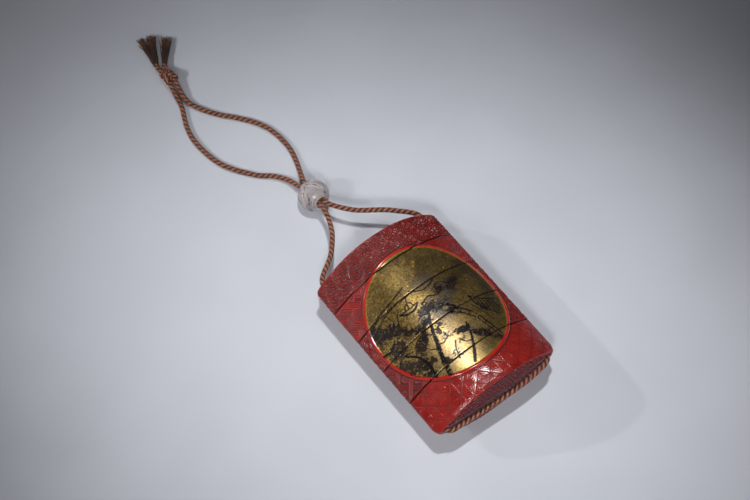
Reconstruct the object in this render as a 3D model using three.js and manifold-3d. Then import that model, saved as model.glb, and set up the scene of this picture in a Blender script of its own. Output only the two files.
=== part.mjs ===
// A four-case inro with its lid, cord and bead, lying on its back, in millimetres.
// X runs across the case, Y along it towards the lid, and Z is up from the surface it lies on.
import * as THREE from "three";
import { mergeVertices } from "three/addons/utils/BufferGeometryUtils.js";
import Module from "manifold-3d";

const wasm = await Module();
wasm.setup();

// Body of the case
const caseWidth = 62;
const caseThickness = 28;
const edgeRadius = 2.2;
const crownPower = 2.25;
const restWidth = 7;
const lidHeight = 15.55;
const caseHeights = [16.25, 16.8, 17.4, 19.2];
const seamGap = 0.3;

// Rounded ends: the lid's top and the base both swell outwards
const lipRadius = 2;
const cornerRadius = 3.6;
const lidDome = 1.8;
const baseDome = 1;
const endSwell = 0.8;

// Walls, risers and the sockets that the risers enter
const wallThickness = 1.7;
const riserHeight = 4;
const riserThickness = 1;
const fitClearance = 0.3;
const floorThickness = 1.8;
const lidTopThickness = 4;
const baseThickness = 4;
const hollowCornerRadius = 3;

// Cord channels inside the two narrow sides, and the groove between them under the base
const channelDiameter = 3.4;
const channelInset = 4.4;
const channelWall = 1.5;
const flareDiameter = 4.4;
const flareDepth = 1;
const grooveWidth = 10;
const grooveDepth = 1.3;

// Raised ring that frames the round picture, measured over the curved front
const ringRadius = 30.25;
const ringWidth = 1.5;
const ringHeight = 0.45;
const ringCentre = -1.1;

// Cord, bead and knot
const cordDiameter = 2.2;
const cordOverlap = 3;
const strandSpacing = 2.6;
const beadDiameter = 14;
const beadHoleDiameter = 5.6;
const beadTilt = THREE.MathUtils.degToRad(18);
const beadPlace = new THREE.Vector3(-1.1, 82.1, beadDiameter / 2);
const knotPlace = new THREE.Vector3(-14.5, 173.6, 3.6);
const knotLength = 7.4;
const knotWidth = 6.6;
const knotWrapDiameter = 2;
const knotWrapTurn = 0.5;
const knotWrapShift = 0.9;
const knotCoreInset = 0.4;
const tuftWidth = 3.6;
const tuftDepth = 2;
const tuftTipShare = 0.8;

// How finely the curved forms are faceted
const crownSteps = 10;
const hollowSteps = 8;
const edgeSteps = 4;
const endSteps = 3;
const ringSteps = 60;
const ringSides = 8;
const cordSides = 8;
const boreSides = 12;
const grooveSides = 40;
const grooveSteps = 12;
const beadSides = 20;
const beadRows = 14;
const knotSides = 12;
const knotRows = 8;
const wrapSides = 6;
const wrapSteps = 16;
const strandTubeSteps = 27;
const baseTubeSteps = 24;
const channelTubeSteps = 1;
const endTubeSteps = 3;
const lengthSteps = 400;
const solverTurns = 30;
const mergeDistance = 1e-4;
const leastArea = 1e-7;

// Heights, from the base up to the lid's top
const bodyLength = lidHeight + caseHeights.reduce((sum, h) => sum + h, 0);
const bodyTop = bodyLength / 2;
const bodyBottom = -bodyLength / 2;
const midPlane = caseThickness / 2;
const halfWidth = caseWidth / 2;
const channelX = halfWidth - channelInset;
const coreHalfWidth = halfWidth - edgeRadius;
const coreHalfHeight = caseThickness / 2 - edgeRadius;
const socketInset = wallThickness;
const hollowInset = wallThickness + fitClearance + riserThickness;
const socketHalfWidth = channelX - channelDiameter / 2 - channelWall;
const hollowHalfWidth = socketHalfWidth - fitClearance - riserThickness;
const socketDepth = riserHeight + fitClearance;

const lacquer = new THREE.MeshStandardMaterial({ color: 0xa52d28, roughness: 0.35, metalness: 0 });
const silk = new THREE.MeshStandardMaterial({ color: 0x8a5536, roughness: 0.85, metalness: 0 });
const crystal = new THREE.MeshStandardMaterial({ color: 0xcfc8cc, roughness: 0.1, metalness: 0 });

// Solids and meshes
function toSolid(geometry) {
  const bare = geometry.clone();
  bare.deleteAttribute("normal");
  bare.deleteAttribute("uv");
  const merged = mergeVertices(bare, mergeDistance);
  return new wasm.Manifold(new wasm.Mesh({
    numProp: 3,
    vertProperties: merged.attributes.position.array,
    triVerts: new Uint32Array(merged.index.array),
  }));
}

function toMesh(solid, name, material) {
  const { vertProperties, triVerts } = solid.getMesh();
  const geometry = new THREE.BufferGeometry();
  geometry.setAttribute("position", new THREE.BufferAttribute(new Float32Array(vertProperties), 3));
  geometry.setIndex(new THREE.BufferAttribute(new Uint32Array(triVerts), 1));
  geometry.computeVertexNormals();
  const mesh = new THREE.Mesh(geometry, material);
  mesh.name = name;
  return mesh;
}

// The lens-shaped core of the section. The outline lies edgeRadius outside it, so both edges are round.
// The back (side = -1) is cut to a narrow flat, on which the case lies.
function corePoint(x, side) {
  const reach = Math.min(Math.abs(x) / coreHalfWidth, 1);
  const flatReach = restWidth / 2 / coreHalfWidth;
  const share = side > 0 ? 1 : 1 / (1 - flatReach ** crownPower);
  const fullness = Math.min(1, (1 - reach ** crownPower) * share);
  const steep = (coreHalfHeight / coreHalfWidth) * crownPower * reach ** (crownPower - 1) * share;
  const slope = side < 0 && reach <= flatReach ? 0 : steep;
  const normal = new THREE.Vector2(Math.sign(x) * slope, side).normalize();
  return { place: new THREE.Vector2(x, side * coreHalfHeight * fullness), normal };
}

function outlinePoint(x, side, inset) {
  const { place, normal } = corePoint(x, side);
  return place.addScaledVector(normal, edgeRadius - inset);
}

// Half the thickness of the outline at a given distance x from the middle.
function outlineHeight(x, side, inset) {
  let coreX = x;
  for (let i = 0; i < solverTurns; i += 1) {
    coreX = x - (edgeRadius - inset) * corePoint(coreX, side).normal.x;
  }
  return Math.abs(outlinePoint(coreX, side, inset).y);
}

function columns() {
  const places = [];
  for (let i = 0; i <= crownSteps; i += 1) {
    places.push(restWidth / 2 + ((coreHalfWidth - restWidth / 2) * i) / crownSteps);
  }
  return [...places.map((x) => -x).reverse(), 0, ...places];
}

// Points from front to back at each step across the section; the first and last go round an edge.
function sectionColumns(inset) {
  const rows = columns().map((x) => {
    const front = outlinePoint(x, 1, inset);
    const back = outlinePoint(x, -1, inset);
    return Array.from({ length: edgeSteps + 1 }, (_, k) => front.clone().lerp(back, k / edgeSteps));
  });
  const rounded = [-1, 1].map((hand) => {
    const front = corePoint(hand * coreHalfWidth, 1);
    const back = corePoint(hand * coreHalfWidth, -1);
    const column = hand < 0 ? rows[0] : rows[rows.length - 1];
    const start = Math.atan2(front.normal.y, front.normal.x * hand);
    const turn = Math.atan2(back.normal.y, back.normal.x * hand) - start;
    return column.map((p, k) => {
      if (k === 0 || k === edgeSteps) return p.clone();
      const angle = start + (turn * k) / edgeSteps;
      const outwards = new THREE.Vector2(hand * Math.cos(angle), Math.sin(angle));
      return front.place.clone().addScaledVector(outwards, edgeRadius - inset);
    });
  });
  return [rounded[0], ...rows, rounded[1]];
}

function domedEnd(x, end) {
  const reach = Math.min(Math.abs(x) / halfWidth, 1) ** 2;
  return end > 0 ? bodyTop - lidDome * reach : bodyBottom + baseDome * reach;
}

// One ring of the outside on the rounding of an end. A turn of 0 is on the body, a quarter turn on the face.
function endStation(end, turn) {
  const drawnIn = 1 - Math.cos(turn);
  const section = sectionColumns(lipRadius * drawnIn);
  const narrowing = 1 - ((cornerRadius - lipRadius) / halfWidth) * drawnIn;
  return section.map((column) => column.map((p) => {
    const x = p.x * narrowing;
    const reach = Math.min(Math.abs(x) / halfWidth, 1);
    const radius = lipRadius + (cornerRadius - lipRadius) * reach ** 4;
    const face = domedEnd(x, end) - end * endSwell * (1 - reach ** 2);
    return new THREE.Vector3(x, face - end * radius * (1 - Math.sin(turn)), p.y + midPlane);
  }));
}

function flatStation(y) {
  return sectionColumns(0).map((column) => column.map((p) => new THREE.Vector3(p.x, y, p.y + midPlane)));
}

// The face that closes an end station swells between the front and the back.
function swollenFace(station, end) {
  return station.map((column, i) => column.map((p, k) => {
    const onEdge = i === 0 || i === station.length - 1;
    const across = (2 * k) / edgeSteps - 1;
    const reach = Math.min(Math.abs(p.x) / halfWidth, 1);
    const swell = onEdge ? 0 : endSwell * (1 - across ** 2) * (1 - reach ** 2);
    return p.clone().setY(p.y + end * swell);
  }));
}

// A closed body through a list of stations, from the base end to the lid end.
function loft(stations, baseFace, lidFace) {
  const corners = [];
  const last = stations[0].length - 1;
  const ringOf = (s) => [
    ...s.slice(1, last).map((column) => column[0]),
    ...s[last].slice(1, edgeSteps),
    ...s.slice(1, last).reverse().map((column) => column[edgeSteps]),
    ...s[0].slice(1, edgeSteps).reverse(),
  ];
  const triangle = (a, b, c) => {
    const area = new THREE.Triangle(a, b, c).getArea();
    if (area > leastArea) corners.push(a, c, b);
  };
  const quad = (a, b, c, d) => {
    triangle(a, b, c);
    triangle(a, c, d);
  };
  const rings = stations.map(ringOf);
  for (let s = 1; s < rings.length; s += 1) {
    for (let i = 0; i < rings[s].length; i += 1) {
      const j = (i + 1) % rings[s].length;
      quad(rings[s - 1][i], rings[s][i], rings[s][j], rings[s - 1][j]);
    }
  }
  const close = (face, end) => {
    for (let i = 0; i < last; i += 1) {
      for (let k = 0; k < edgeSteps; k += 1) {
        const around = [face[i][k], face[i + 1][k], face[i + 1][k + 1], face[i][k + 1]];
        if (end < 0) around.reverse();
        quad(around[0], around[3], around[2], around[1]);
      }
    }
  };
  close(baseFace, -1);
  close(lidFace, 1);
  return toSolid(new THREE.BufferGeometry().setFromPoints(corners));
}

function endStations(end) {
  const stations = [];
  for (let k = 0; k <= endSteps; k += 1) {
    stations.push(endStation(end, (k / endSteps) * (Math.PI / 2)));
  }
  return stations;
}

function outerBlock(from, to) {
  const stations = [];
  const isBase = from <= bodyBottom;
  const isLid = to >= bodyTop;
  if (isBase) stations.push(...endStations(-1).reverse());
  else stations.push(flatStation(from));
  if (isLid) stations.push(...endStations(1));
  else stations.push(flatStation(to));
  const first = stations[0];
  const final = stations[stations.length - 1];
  return loft(stations, isBase ? swollenFace(first, -1) : first, isLid ? swollenFace(final, 1) : final);
}

// Hollows and risers follow the body's curve at an inset, and their four corners are round.
function hollowShape(inset, reach) {
  const points = [];
  const flatReach = reach - hollowCornerRadius;
  for (const side of [1, -1]) {
    const addPoint = (x, height) => points.push(new THREE.Vector2(side * x, side * height));
    const addCorner = (hand, k) => {
      const angle = (k / edgeSteps) * (Math.PI / 2);
      const height = outlineHeight(flatReach, side, inset) - hollowCornerRadius * (1 - Math.cos(angle));
      addPoint(hand * (flatReach + hollowCornerRadius * Math.sin(angle)), height);
    };
    for (let k = edgeSteps - 1; k > 0; k -= 1) addCorner(1, k);
    for (let k = 0; k <= hollowSteps; k += 1) {
      const x = flatReach * (1 - (2 * k) / hollowSteps);
      addPoint(x, outlineHeight(Math.abs(x), side, inset));
    }
    for (let k = 1; k <= edgeSteps; k += 1) addCorner(-1, k);
    addPoint(-reach, hollowCornerRadius - outlineHeight(flatReach, -side, inset));
  }
  return new THREE.Shape(points);
}

function prism(shape, from, to) {
  const geometry = new THREE.ExtrudeGeometry(shape, { depth: to - from, bevelEnabled: false });
  geometry.rotateX(Math.PI / 2);
  geometry.translate(0, to, midPlane);
  return toSolid(geometry);
}

// The cord channel on one side, with a flared mouth at the lid's top and at the base.
function channel(hand) {
  const radius = channelDiameter / 2;
  const drawnBack = endSwell * (1 - (channelX / halfWidth) ** 2);
  const top = domedEnd(channelX, 1) - drawnBack;
  const bottom = domedEnd(channelX, -1) + drawnBack;
  const bore = new THREE.CylinderGeometry(radius, radius, bodyLength * 2, boreSides);
  bore.translate(hand * channelX, 0, midPlane);
  const flareLength = flareDepth * 2;
  const wide = flareDiameter - radius;
  const mouths = [[top, wide, radius], [bottom, radius, wide]].map(([y, above, below]) => {
    const flare = new THREE.CylinderGeometry(above, below, flareLength, boreSides);
    flare.translate(hand * channelX, y, midPlane);
    return toSolid(flare);
  });
  return mouths.reduce((sum, flare) => sum.add(flare), toSolid(bore));
}

// A shallow groove across the base from one channel to the other, narrower where the base is thinner.
function baseGroove() {
  const half = grooveWidth / 2;
  const radius = (half ** 2 + grooveDepth ** 2) / (2 * grooveDepth);
  const bar = new THREE.CylinderGeometry(radius, radius, channelX * 2, grooveSides, grooveSteps);
  bar.rotateZ(Math.PI / 2);
  const places = bar.attributes.position;
  const fullHeight = outlineHeight(0, 1, lipRadius);
  for (let i = 0; i < places.count; i += 1) {
    const x = places.getX(i);
    const share = outlineHeight(Math.abs(x), 1, lipRadius) / fullHeight;
    const y = places.getY(i) + domedEnd(x, -1) + grooveDepth - radius;
    places.setXYZ(i, x, y, places.getZ(i) * share + midPlane);
  }
  return toSolid(bar);
}

// Distances over the curved front, from the middle outwards, against the core's x.
const frontLengths = [0];
const frontStep = coreHalfWidth / lengthSteps;
for (let i = 1; i <= lengthSteps; i += 1) {
  const before = outlinePoint((i - 1) * frontStep, 1, 0);
  const here = outlinePoint(i * frontStep, 1, 0);
  frontLengths.push(frontLengths[i - 1] + here.distanceTo(before));
}

function coreAtLength(length) {
  const wanted = Math.min(Math.abs(length), frontLengths[lengthSteps]);
  const i = Math.max(1, frontLengths.findIndex((value) => value >= wanted));
  const share = (wanted - frontLengths[i - 1]) / (frontLengths[i] - frontLengths[i - 1]);
  return Math.sign(length) * (i - 1 + share) * frontStep;
}

// The ring is a flattened torus that is laid over the front.
function pictureRing() {
  const torus = new THREE.TorusGeometry(ringRadius, ringWidth / 2, ringSides, ringSteps);
  const places = torus.attributes.position;
  for (let i = 0; i < places.count; i += 1) {
    const height = places.getZ(i);
    const rise = height > 0 ? (height * 2 * ringHeight) / ringWidth : height;
    const point = outlinePoint(coreAtLength(places.getX(i)), 1, -rise);
    places.setXYZ(i, point.x, places.getY(i) + ringCentre, point.y + midPlane);
  }
  return toSolid(torus);
}

function slab(from, to) {
  const box = new THREE.BoxGeometry(caseWidth * 2, to - from, caseThickness * 3);
  box.translate(0, (from + to) / 2, midPlane);
  return toSolid(box);
}

const channels = [-1, 1].map(channel);
const ring = pictureRing();

function finishTier(block, from, to) {
  const withRing = block.add(ring.intersect(slab(from, to)));
  return channels.reduce((solid, bore) => solid.subtract(bore), withRing);
}

function makeLid(seam) {
  const from = seam + seamGap / 2;
  const hollow = prism(hollowShape(socketInset, socketHalfWidth), from - 1, bodyTop - lidTopThickness);
  return finishTier(outerBlock(from, bodyTop).subtract(hollow), from, bodyTop);
}

function makeCase(lowerSeam, upperSeam) {
  const isBase = lowerSeam <= bodyBottom;
  const from = isBase ? bodyBottom : lowerSeam + seamGap / 2;
  const to = upperSeam - seamGap / 2;
  const riserTop = upperSeam + seamGap / 2 + riserHeight;
  const floorTop = isBase ? bodyBottom + baseThickness : from + socketDepth + floorThickness;
  const riserShape = hollowShape(socketInset + fitClearance, socketHalfWidth - fitClearance);
  const riser = prism(riserShape, to - 1, riserTop);
  const hollow = prism(hollowShape(hollowInset, hollowHalfWidth), floorTop, riserTop + 1);
  const block = outerBlock(from, to).add(riser).subtract(hollow);
  const socket = hollowShape(socketInset, socketHalfWidth);
  const under = isBase ? baseGroove() : prism(socket, from - 1, from + socketDepth);
  return finishTier(block.subtract(under), from, to);
}

// Cord: a round tube through hand-placed points
function cordTube(points, steps) {
  const radius = cordDiameter / 2;
  const corners = Array.from({ length: cordSides }, (_, k) => {
    const angle = ((k + 0.5) / cordSides) * Math.PI * 2;
    return new THREE.Vector2(radius * Math.cos(angle), radius * Math.sin(angle));
  });
  const section = new THREE.Shape(corners);
  const places = points.map((p) => new THREE.Vector3(...p));
  const extrudePath = new THREE.CatmullRomCurve3(places, false, "centripetal");
  return toSolid(new THREE.ExtrudeGeometry(section, { steps, extrudePath, bevelEnabled: false }));
}

const cordInLid = bodyTop - lidTopThickness;
const cordInBase = bodyBottom + baseThickness + cordOverlap;
const leftStrand = beadPlace.x - strandSpacing / 2;
const rightStrand = beadPlace.x + strandSpacing / 2;

// Points near the case are placed from the channel mouths and the two ends.
const leftRoute = [
  [-channelX, cordInLid, midPlane],
  [-channelX, bodyTop - 2.6, midPlane],
  [0.5 - channelX, bodyTop - 1, midPlane],
  [1.8 - channelX, bodyTop + 1.3, midPlane - 0.2],
  [4.7 - channelX, bodyTop + 3.8, midPlane - 0.8],
  [8.9 - channelX, bodyTop + 6.6, midPlane - 1.5],
  [12.4 - channelX, bodyTop + 9.5, midPlane - 2.2],
  [-10.7, 55.9, 11.1],
  [-7.4, 60.3, 10.5],
  [-5, 64.9, 10.2],
  [-3.5, 69, 10],
  [-2.7, 72.5, 9.7],
  [leftStrand, 75.5, 9.1],
  [leftStrand, beadPlace.y, beadPlace.z],
  [leftStrand, 88.7, 4.9],
  [-2.6, 92, 3.6],
  [-3.7, 97.5, 2.1],
  [-7.2, 103.4, 1.3],
  [-12, 107.7, 1.15],
  [-16.2, 112.9, 1.15],
  [-19.7, 118.1, 1.15],
  [-22.2, 123.4, 1.15],
  [-23.6, 129.3, 1.15],
  [-24.3, 135.6, 1.15],
  [-24.1, 142.2, 1.15],
  [-22.8, 148.1, 1.15],
  [-20.7, 153.3, 1.15],
  [-18.8, 157.5, 1.3],
  [-17.9, 161, 1.7],
  [-17.3, 164.5, 2.3],
  [-16.7, 168, 2.9],
  [-16.4, 169.8, 3.2],
];

const rightRoute = [
  [channelX, cordInLid, midPlane],
  [channelX, bodyTop - 2.6, midPlane],
  [channelX - 0.1, bodyTop - 0.7, midPlane],
  [channelX - 0.8, bodyTop + 1.7, midPlane - 0.1],
  [channelX - 3, bodyTop + 5, midPlane - 0.5],
  [channelX - 5.8, bodyTop + 8.3, midPlane - 1.1],
  [channelX - 8.6, bodyTop + 11.6, midPlane - 1.7],
  [14.6, 57.3, 11.7],
  [11, 60.3, 11.1],
  [7.8, 63.2, 10.6],
  [5.2, 66.2, 10.3],
  [3, 69.3, 10.1],
  [1.2, 72.4, 9.7],
  [rightStrand, 75.5, 9.1],
  [rightStrand, beadPlace.y, beadPlace.z],
  [rightStrand, 88.7, 4.9],
  [0.8, 92, 3.6],
  [2.5, 96.8, 2.1],
  [4.9, 103, 1.3],
  [6.6, 109.6, 1.15],
  [6.9, 116.2, 1.15],
  [6.1, 122.7, 1.15],
  [4, 128.8, 1.15],
  [0.7, 134.3, 1.15],
  [-3.1, 139.2, 1.15],
  [-7.1, 143.9, 1.15],
  [-10.6, 149, 1.15],
  [-13.2, 153.8, 1.2],
  [-14.7, 157.6, 1.5],
  [-15, 161, 1.9],
  [-14.6, 164.5, 2.5],
  [-14, 168, 3.1],
  [-13.7, 169.8, 3.4],
];

const baseRoute = [
  [-channelX, cordInBase, midPlane],
  [-channelX, bodyBottom + 3.2, midPlane],
  [0.2 - channelX, bodyBottom + 1.6, midPlane],
  [1.4 - channelX, bodyBottom + 0.3, midPlane - 0.1],
  [3.8 - channelX, bodyBottom - 0.2, midPlane - 0.2],
  [8.4 - channelX, bodyBottom - 0.3, midPlane - 0.4],
  [-channelX / 2, bodyBottom - 0.5, midPlane - 0.6],
  [-channelX * 0.3, bodyBottom - 0.7, midPlane - 0.8],
  [-channelX * 0.08, bodyBottom - 1, midPlane - 0.9],
  [channelX * 0.15, bodyBottom - 1.3, midPlane - 1],
  [channelX * 0.36, bodyBottom - 1.4, midPlane - 1],
  [channelX * 0.55, bodyBottom - 1.3, midPlane - 0.8],
  [channelX - 7.1, bodyBottom - 0.9, midPlane - 0.5],
  [channelX - 3.4, bodyBottom - 0.4, midPlane - 0.2],
  [channelX - 1.2, bodyBottom + 0.5, midPlane - 0.1],
  [channelX - 0.1, bodyBottom + 1.9, midPlane],
  [channelX, bodyBottom + 3.6, midPlane],
  [channelX, cordInBase, midPlane],
];

function channelRoute(hand) {
  const x = hand * channelX;
  return [[x, cordInBase + fitClearance, midPlane], [x, cordInLid - fitClearance, midPlane]];
}

// Bead with a hole for both strands, tilted because the cord comes down from the lid to the surface.
function makeBead() {
  const radius = beadDiameter / 2;
  const ball = toSolid(new THREE.SphereGeometry(radius, beadSides, beadRows));
  const holeRadius = beadHoleDiameter / 2;
  const hole = toSolid(new THREE.CylinderGeometry(holeRadius, holeRadius, beadDiameter * 2, boreSides));
  const matrix = new THREE.Matrix4().makeRotationX(-beadTilt).setPosition(beadPlace);
  return ball.subtract(hole).transform(matrix.elements);
}

// Knot: an oval core with two turns of cord laid crosswise round it
function makeKnot() {
  const core = new THREE.SphereGeometry(1, knotSides, knotRows);
  const coreRadius = knotWidth / 2 - knotCoreInset;
  core.scale(coreRadius, knotLength / 2, coreRadius);
  const wrapRadius = (knotWidth - knotWrapDiameter) / 2;
  const wraps = [-1, 1].map((hand) => {
    const wrap = new THREE.TorusGeometry(wrapRadius, knotWrapDiameter / 2, wrapSides, wrapSteps);
    wrap.rotateX(Math.PI / 2);
    wrap.rotateZ(hand * knotWrapTurn);
    wrap.translate(0, hand * knotWrapShift, 0);
    return toSolid(wrap);
  });
  const solid = wraps.reduce((sum, wrap) => sum.add(wrap), toSolid(core));
  return solid.translate(knotPlace.toArray());
}

// A frayed tuft: it starts as thick as the cord and spreads flat towards its open end.
function makeTuft(from, to) {
  const start = new THREE.Vector3(...from);
  const end = new THREE.Vector3(...to);
  const along = end.clone().sub(start);
  const form = new THREE.CylinderGeometry(tuftTipShare, 1, along.length(), cordSides, 2);
  const places = form.attributes.position;
  for (let i = 0; i < places.count; i += 1) {
    const share = places.getY(i) / along.length() + 1 / 2;
    places.setX(i, (places.getX(i) * THREE.MathUtils.lerp(cordDiameter, tuftWidth, share)) / 2);
    places.setZ(i, (places.getZ(i) * THREE.MathUtils.lerp(cordDiameter, tuftDepth, share)) / 2);
  }
  const direction = along.clone().normalize();
  const turn = new THREE.Quaternion().setFromUnitVectors(new THREE.Vector3(0, 1, 0), direction);
  form.applyQuaternion(turn);
  form.translate(...start.lerp(end, 0.5).toArray());
  return toSolid(form);
}

function makeCordEnd(route, tufts) {
  const split = route[route.length - 1];
  return tufts.reduce((sum, tip) => sum.add(makeTuft(split, tip)), cordTube(route, endTubeSteps));
}

const leftEnd = [[-15.7, 177.4, 3.1], [-15.5, 181, 2.4], [-14.8, 184.7, 1.6]];
const rightEnd = [[-13.2, 177.4, 3.4], [-12.7, 180, 2.6], [-11.6, 182.6, 1.9]];
const leftTips = [[-11.9, 200.6, 1.15], [-7.7, 197.6, 1.15]];
const rightTips = [[-2, 193.4, 1.15]];

const inro = new THREE.Group();

let seam = bodyTop - lidHeight;
inro.add(toMesh(makeLid(seam), "lid", lacquer));
caseHeights.forEach((height, i) => {
  const isLast = i === caseHeights.length - 1;
  const lower = isLast ? bodyBottom : seam - height;
  inro.add(toMesh(makeCase(lower, seam), `case_${i + 1}`, lacquer));
  seam = lower;
});

inro.add(toMesh(cordTube(leftRoute, strandTubeSteps), "cord_left", silk));
inro.add(toMesh(cordTube(rightRoute, strandTubeSteps), "cord_right", silk));
inro.add(toMesh(cordTube(baseRoute, baseTubeSteps), "cord_under_base", silk));
inro.add(toMesh(cordTube(channelRoute(-1), channelTubeSteps), "cord_in_left_channel", silk));
inro.add(toMesh(cordTube(channelRoute(1), channelTubeSteps), "cord_in_right_channel", silk));
inro.add(toMesh(makeBead(), "bead", crystal));
inro.add(toMesh(makeKnot(), "knot", silk));
inro.add(toMesh(makeCordEnd(leftEnd, leftTips), "cord_end_left", silk));
inro.add(toMesh(makeCordEnd(rightEnd, rightTips), "cord_end_right", silk));

export default inro;
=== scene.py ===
"""An inro of carved red lacquer with its silk cord and crystal bead, lying on its back.

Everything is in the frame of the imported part: X across the case, Y towards the lid, Z up.
Shapes are worked out in millimetres and turned into metres when a mesh is made.
"""

import math

import bpy
import numpy as np
from mathutils import Matrix, Vector


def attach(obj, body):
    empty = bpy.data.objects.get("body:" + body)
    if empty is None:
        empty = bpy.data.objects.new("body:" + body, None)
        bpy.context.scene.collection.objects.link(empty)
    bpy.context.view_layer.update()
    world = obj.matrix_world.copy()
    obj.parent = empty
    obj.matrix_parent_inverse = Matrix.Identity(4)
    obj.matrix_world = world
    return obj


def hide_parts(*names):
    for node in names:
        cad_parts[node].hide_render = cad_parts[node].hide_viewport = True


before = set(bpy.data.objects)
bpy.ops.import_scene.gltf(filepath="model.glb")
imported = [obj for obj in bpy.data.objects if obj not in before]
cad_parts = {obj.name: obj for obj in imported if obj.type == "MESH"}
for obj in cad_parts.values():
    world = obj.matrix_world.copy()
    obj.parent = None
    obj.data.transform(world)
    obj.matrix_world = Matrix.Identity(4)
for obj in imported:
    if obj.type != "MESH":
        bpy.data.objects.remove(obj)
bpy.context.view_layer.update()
bpy.ops.object.select_all(action="DESELECT")

MM = 0.001


def place_camera():
    """The camera that was solved from the case's edges in the photograph."""
    data = bpy.data.cameras.new("Camera")
    data.sensor_fit = "HORIZONTAL"
    data.sensor_width = 36.0
    data.lens = 87.41
    data.clip_start = 0.05
    data.clip_end = 20.0
    camera = bpy.data.objects.new("Camera", data)
    bpy.context.scene.collection.objects.link(camera)
    right = Vector((0.79266, -0.60962, -0.00725))
    up = Vector((0.53666, 0.69205, 0.48277))
    forward = Vector((0.28929, 0.38656, -0.87572))
    turn = Matrix((right, up, -forward)).transposed().to_4x4()
    place = Vector((-0.22066, -0.25500, 0.68534))
    camera.matrix_world = Matrix.Translation(place) @ turn
    bpy.context.scene.camera = camera


place_camera()

# Form of the case, in millimetres
HALF_WIDTH = 31.0
EDGE_RADIUS = 2.2
CORE_HALF_WIDTH = 28.8
CORE_HALF_HEIGHT = 11.8
CROWN_POWER = 2.25
REST_HALF_WIDTH = 3.5
MID = 14.0
BODY_TOP = 42.6
BODY_BOTTOM = -42.6
SEAMS = (27.05, 10.8, -6.0, -23.4)
SEAM_GAP = 0.3
LIP_RADIUS = 2.0
LID_LIP_RADIUS = 1.5
CORNER_RADIUS = 3.6
LID_DOME = 1.8
BASE_DOME = 1.0
END_SWELL = 0.8
CHANNEL_X = 26.6
CHANNEL_RADIUS = 1.7
MOUTH_RADIUS = 2.2
GROOVE_HALF_WIDTH = 5.0
GROOVE_DEPTH = 1.3
GROOVE_TIP_X = 30
RING_RADIUS = 30.25
RING_HALF_WIDTH = 0.75
RING_HEIGHT = 0.45
RING_CENTRE = -1.1
RISER_HEIGHT = 4.0
WALL = 1.7
CLEARANCE = 0.3
RISER_WALL = 1.0
FLOOR = 1.8
END_THICKNESS = 4.0
SOCKET_HALF_WIDTH = 23.4
HOLLOW_HALF_WIDTH = 22.1
HOLLOW_CORNER = 3.0
BORE_PAST_END = 5
MOUTH_LENGTH = 2

# Spacing of the columns on the front and the back, of the rows on a side and of those on an end
FRONT_STEP = 0.165
BACK_STEP = 0.28
ROW_STEP = 0.18
FACE_STEP = 0.27
SECTION_SAMPLES = 1500
EDGE_SAMPLES = 60
HOLLOW_SAMPLES = 1200
HOLLOW_SIDE_POINTS = 60
HOLLOW_CORNER_POINTS = 16


def smooth(low, high, value):
    """A share that eases from 0 at low to 1 at high."""
    share = np.clip((value - low) / (high - low), 0, 1)
    return share * share * (3 - 2 * share)


def core_outline(x, side):
    """Height of the section's core and its outward normal, at x on the front (side 1) or the back
    (side -1)."""
    reach = np.abs(x) / CORE_HALF_WIDTH
    flat = REST_HALF_WIDTH / CORE_HALF_WIDTH
    share = 1.0 if side > 0 else 1 / (1 - flat**CROWN_POWER)
    z = side * CORE_HALF_HEIGHT * np.minimum(1, (1 - reach**CROWN_POWER) * share)
    slope = CORE_HALF_HEIGHT / CORE_HALF_WIDTH * CROWN_POWER * reach ** (CROWN_POWER - 1) * share
    if side < 0:
        slope = np.where(reach <= flat, 0, slope)
    size = np.hypot(slope, 1)
    return z, np.sign(x) * slope / size, side / size


def round_section():
    """Core places and normals round the section from the back's middle over the left edge, and how
    far round each one lies."""
    reach = CORE_HALF_WIDTH * np.linspace(0, 1, SECTION_SAMPLES)
    parts = []
    for xs, side in ((-reach, -1), (np.r_[-reach[::-1], reach[1:]], 1), (reach[::-1], -1)):
        z, nx, nz = core_outline(xs, side)
        parts.append(np.stack([xs, z, nx, nz * np.ones_like(xs)], 1))
    arcs = []
    for before, after in ((parts[0][-1], parts[1][0]), (parts[1][-1], parts[2][0])):
        first = math.atan2(before[3], before[2])
        last = math.atan2(after[3], after[2])
        if first - last > math.pi:
            last += 2 * math.pi
        if last - first > math.pi:
            first += 2 * math.pi
        angle = np.linspace(first, last, EDGE_SAMPLES)[1:-1]
        edge_x = np.full_like(angle, before[0])
        arcs.append(np.stack([edge_x, np.zeros_like(angle), np.cos(angle), np.sin(angle)], 1))
    table = np.concatenate([parts[0], arcs[0], parts[1], arcs[1], parts[2]])
    places = table[:, :2] + EDGE_RADIUS * table[:, 2:]
    distance = np.r_[0, np.cumsum(np.hypot(*np.diff(places, axis=0).T))]
    return table, distance - distance[-1] / 2


SECTION, SECTION_S = round_section()
HALF_ROUND = float(SECTION_S[-1])
FRONT_REACH = 35.4  # distance round the section that has the fine columns, to each side

front_columns = 2 * round(FRONT_REACH / FRONT_STEP)
back_columns = 2 * round((HALF_ROUND - FRONT_REACH) / BACK_STEP)
COLUMNS_S = np.r_[
    np.linspace(-HALF_ROUND, -FRONT_REACH, back_columns // 2, endpoint=False),
    np.linspace(-FRONT_REACH, FRONT_REACH, front_columns, endpoint=False),
    np.linspace(FRONT_REACH, HALF_ROUND, back_columns // 2, endpoint=False),
]
if len(COLUMNS_S) % 2:
    COLUMNS_S = COLUMNS_S[1:]
COARSE_S = COLUMNS_S[::2]


def section_at(s):
    """Core places and normals at distances s round the section."""
    found = np.stack([np.interp(s, SECTION_S, SECTION[:, k]) for k in range(4)])
    found[2:] /= np.hypot(found[2], found[3])
    return found


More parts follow.
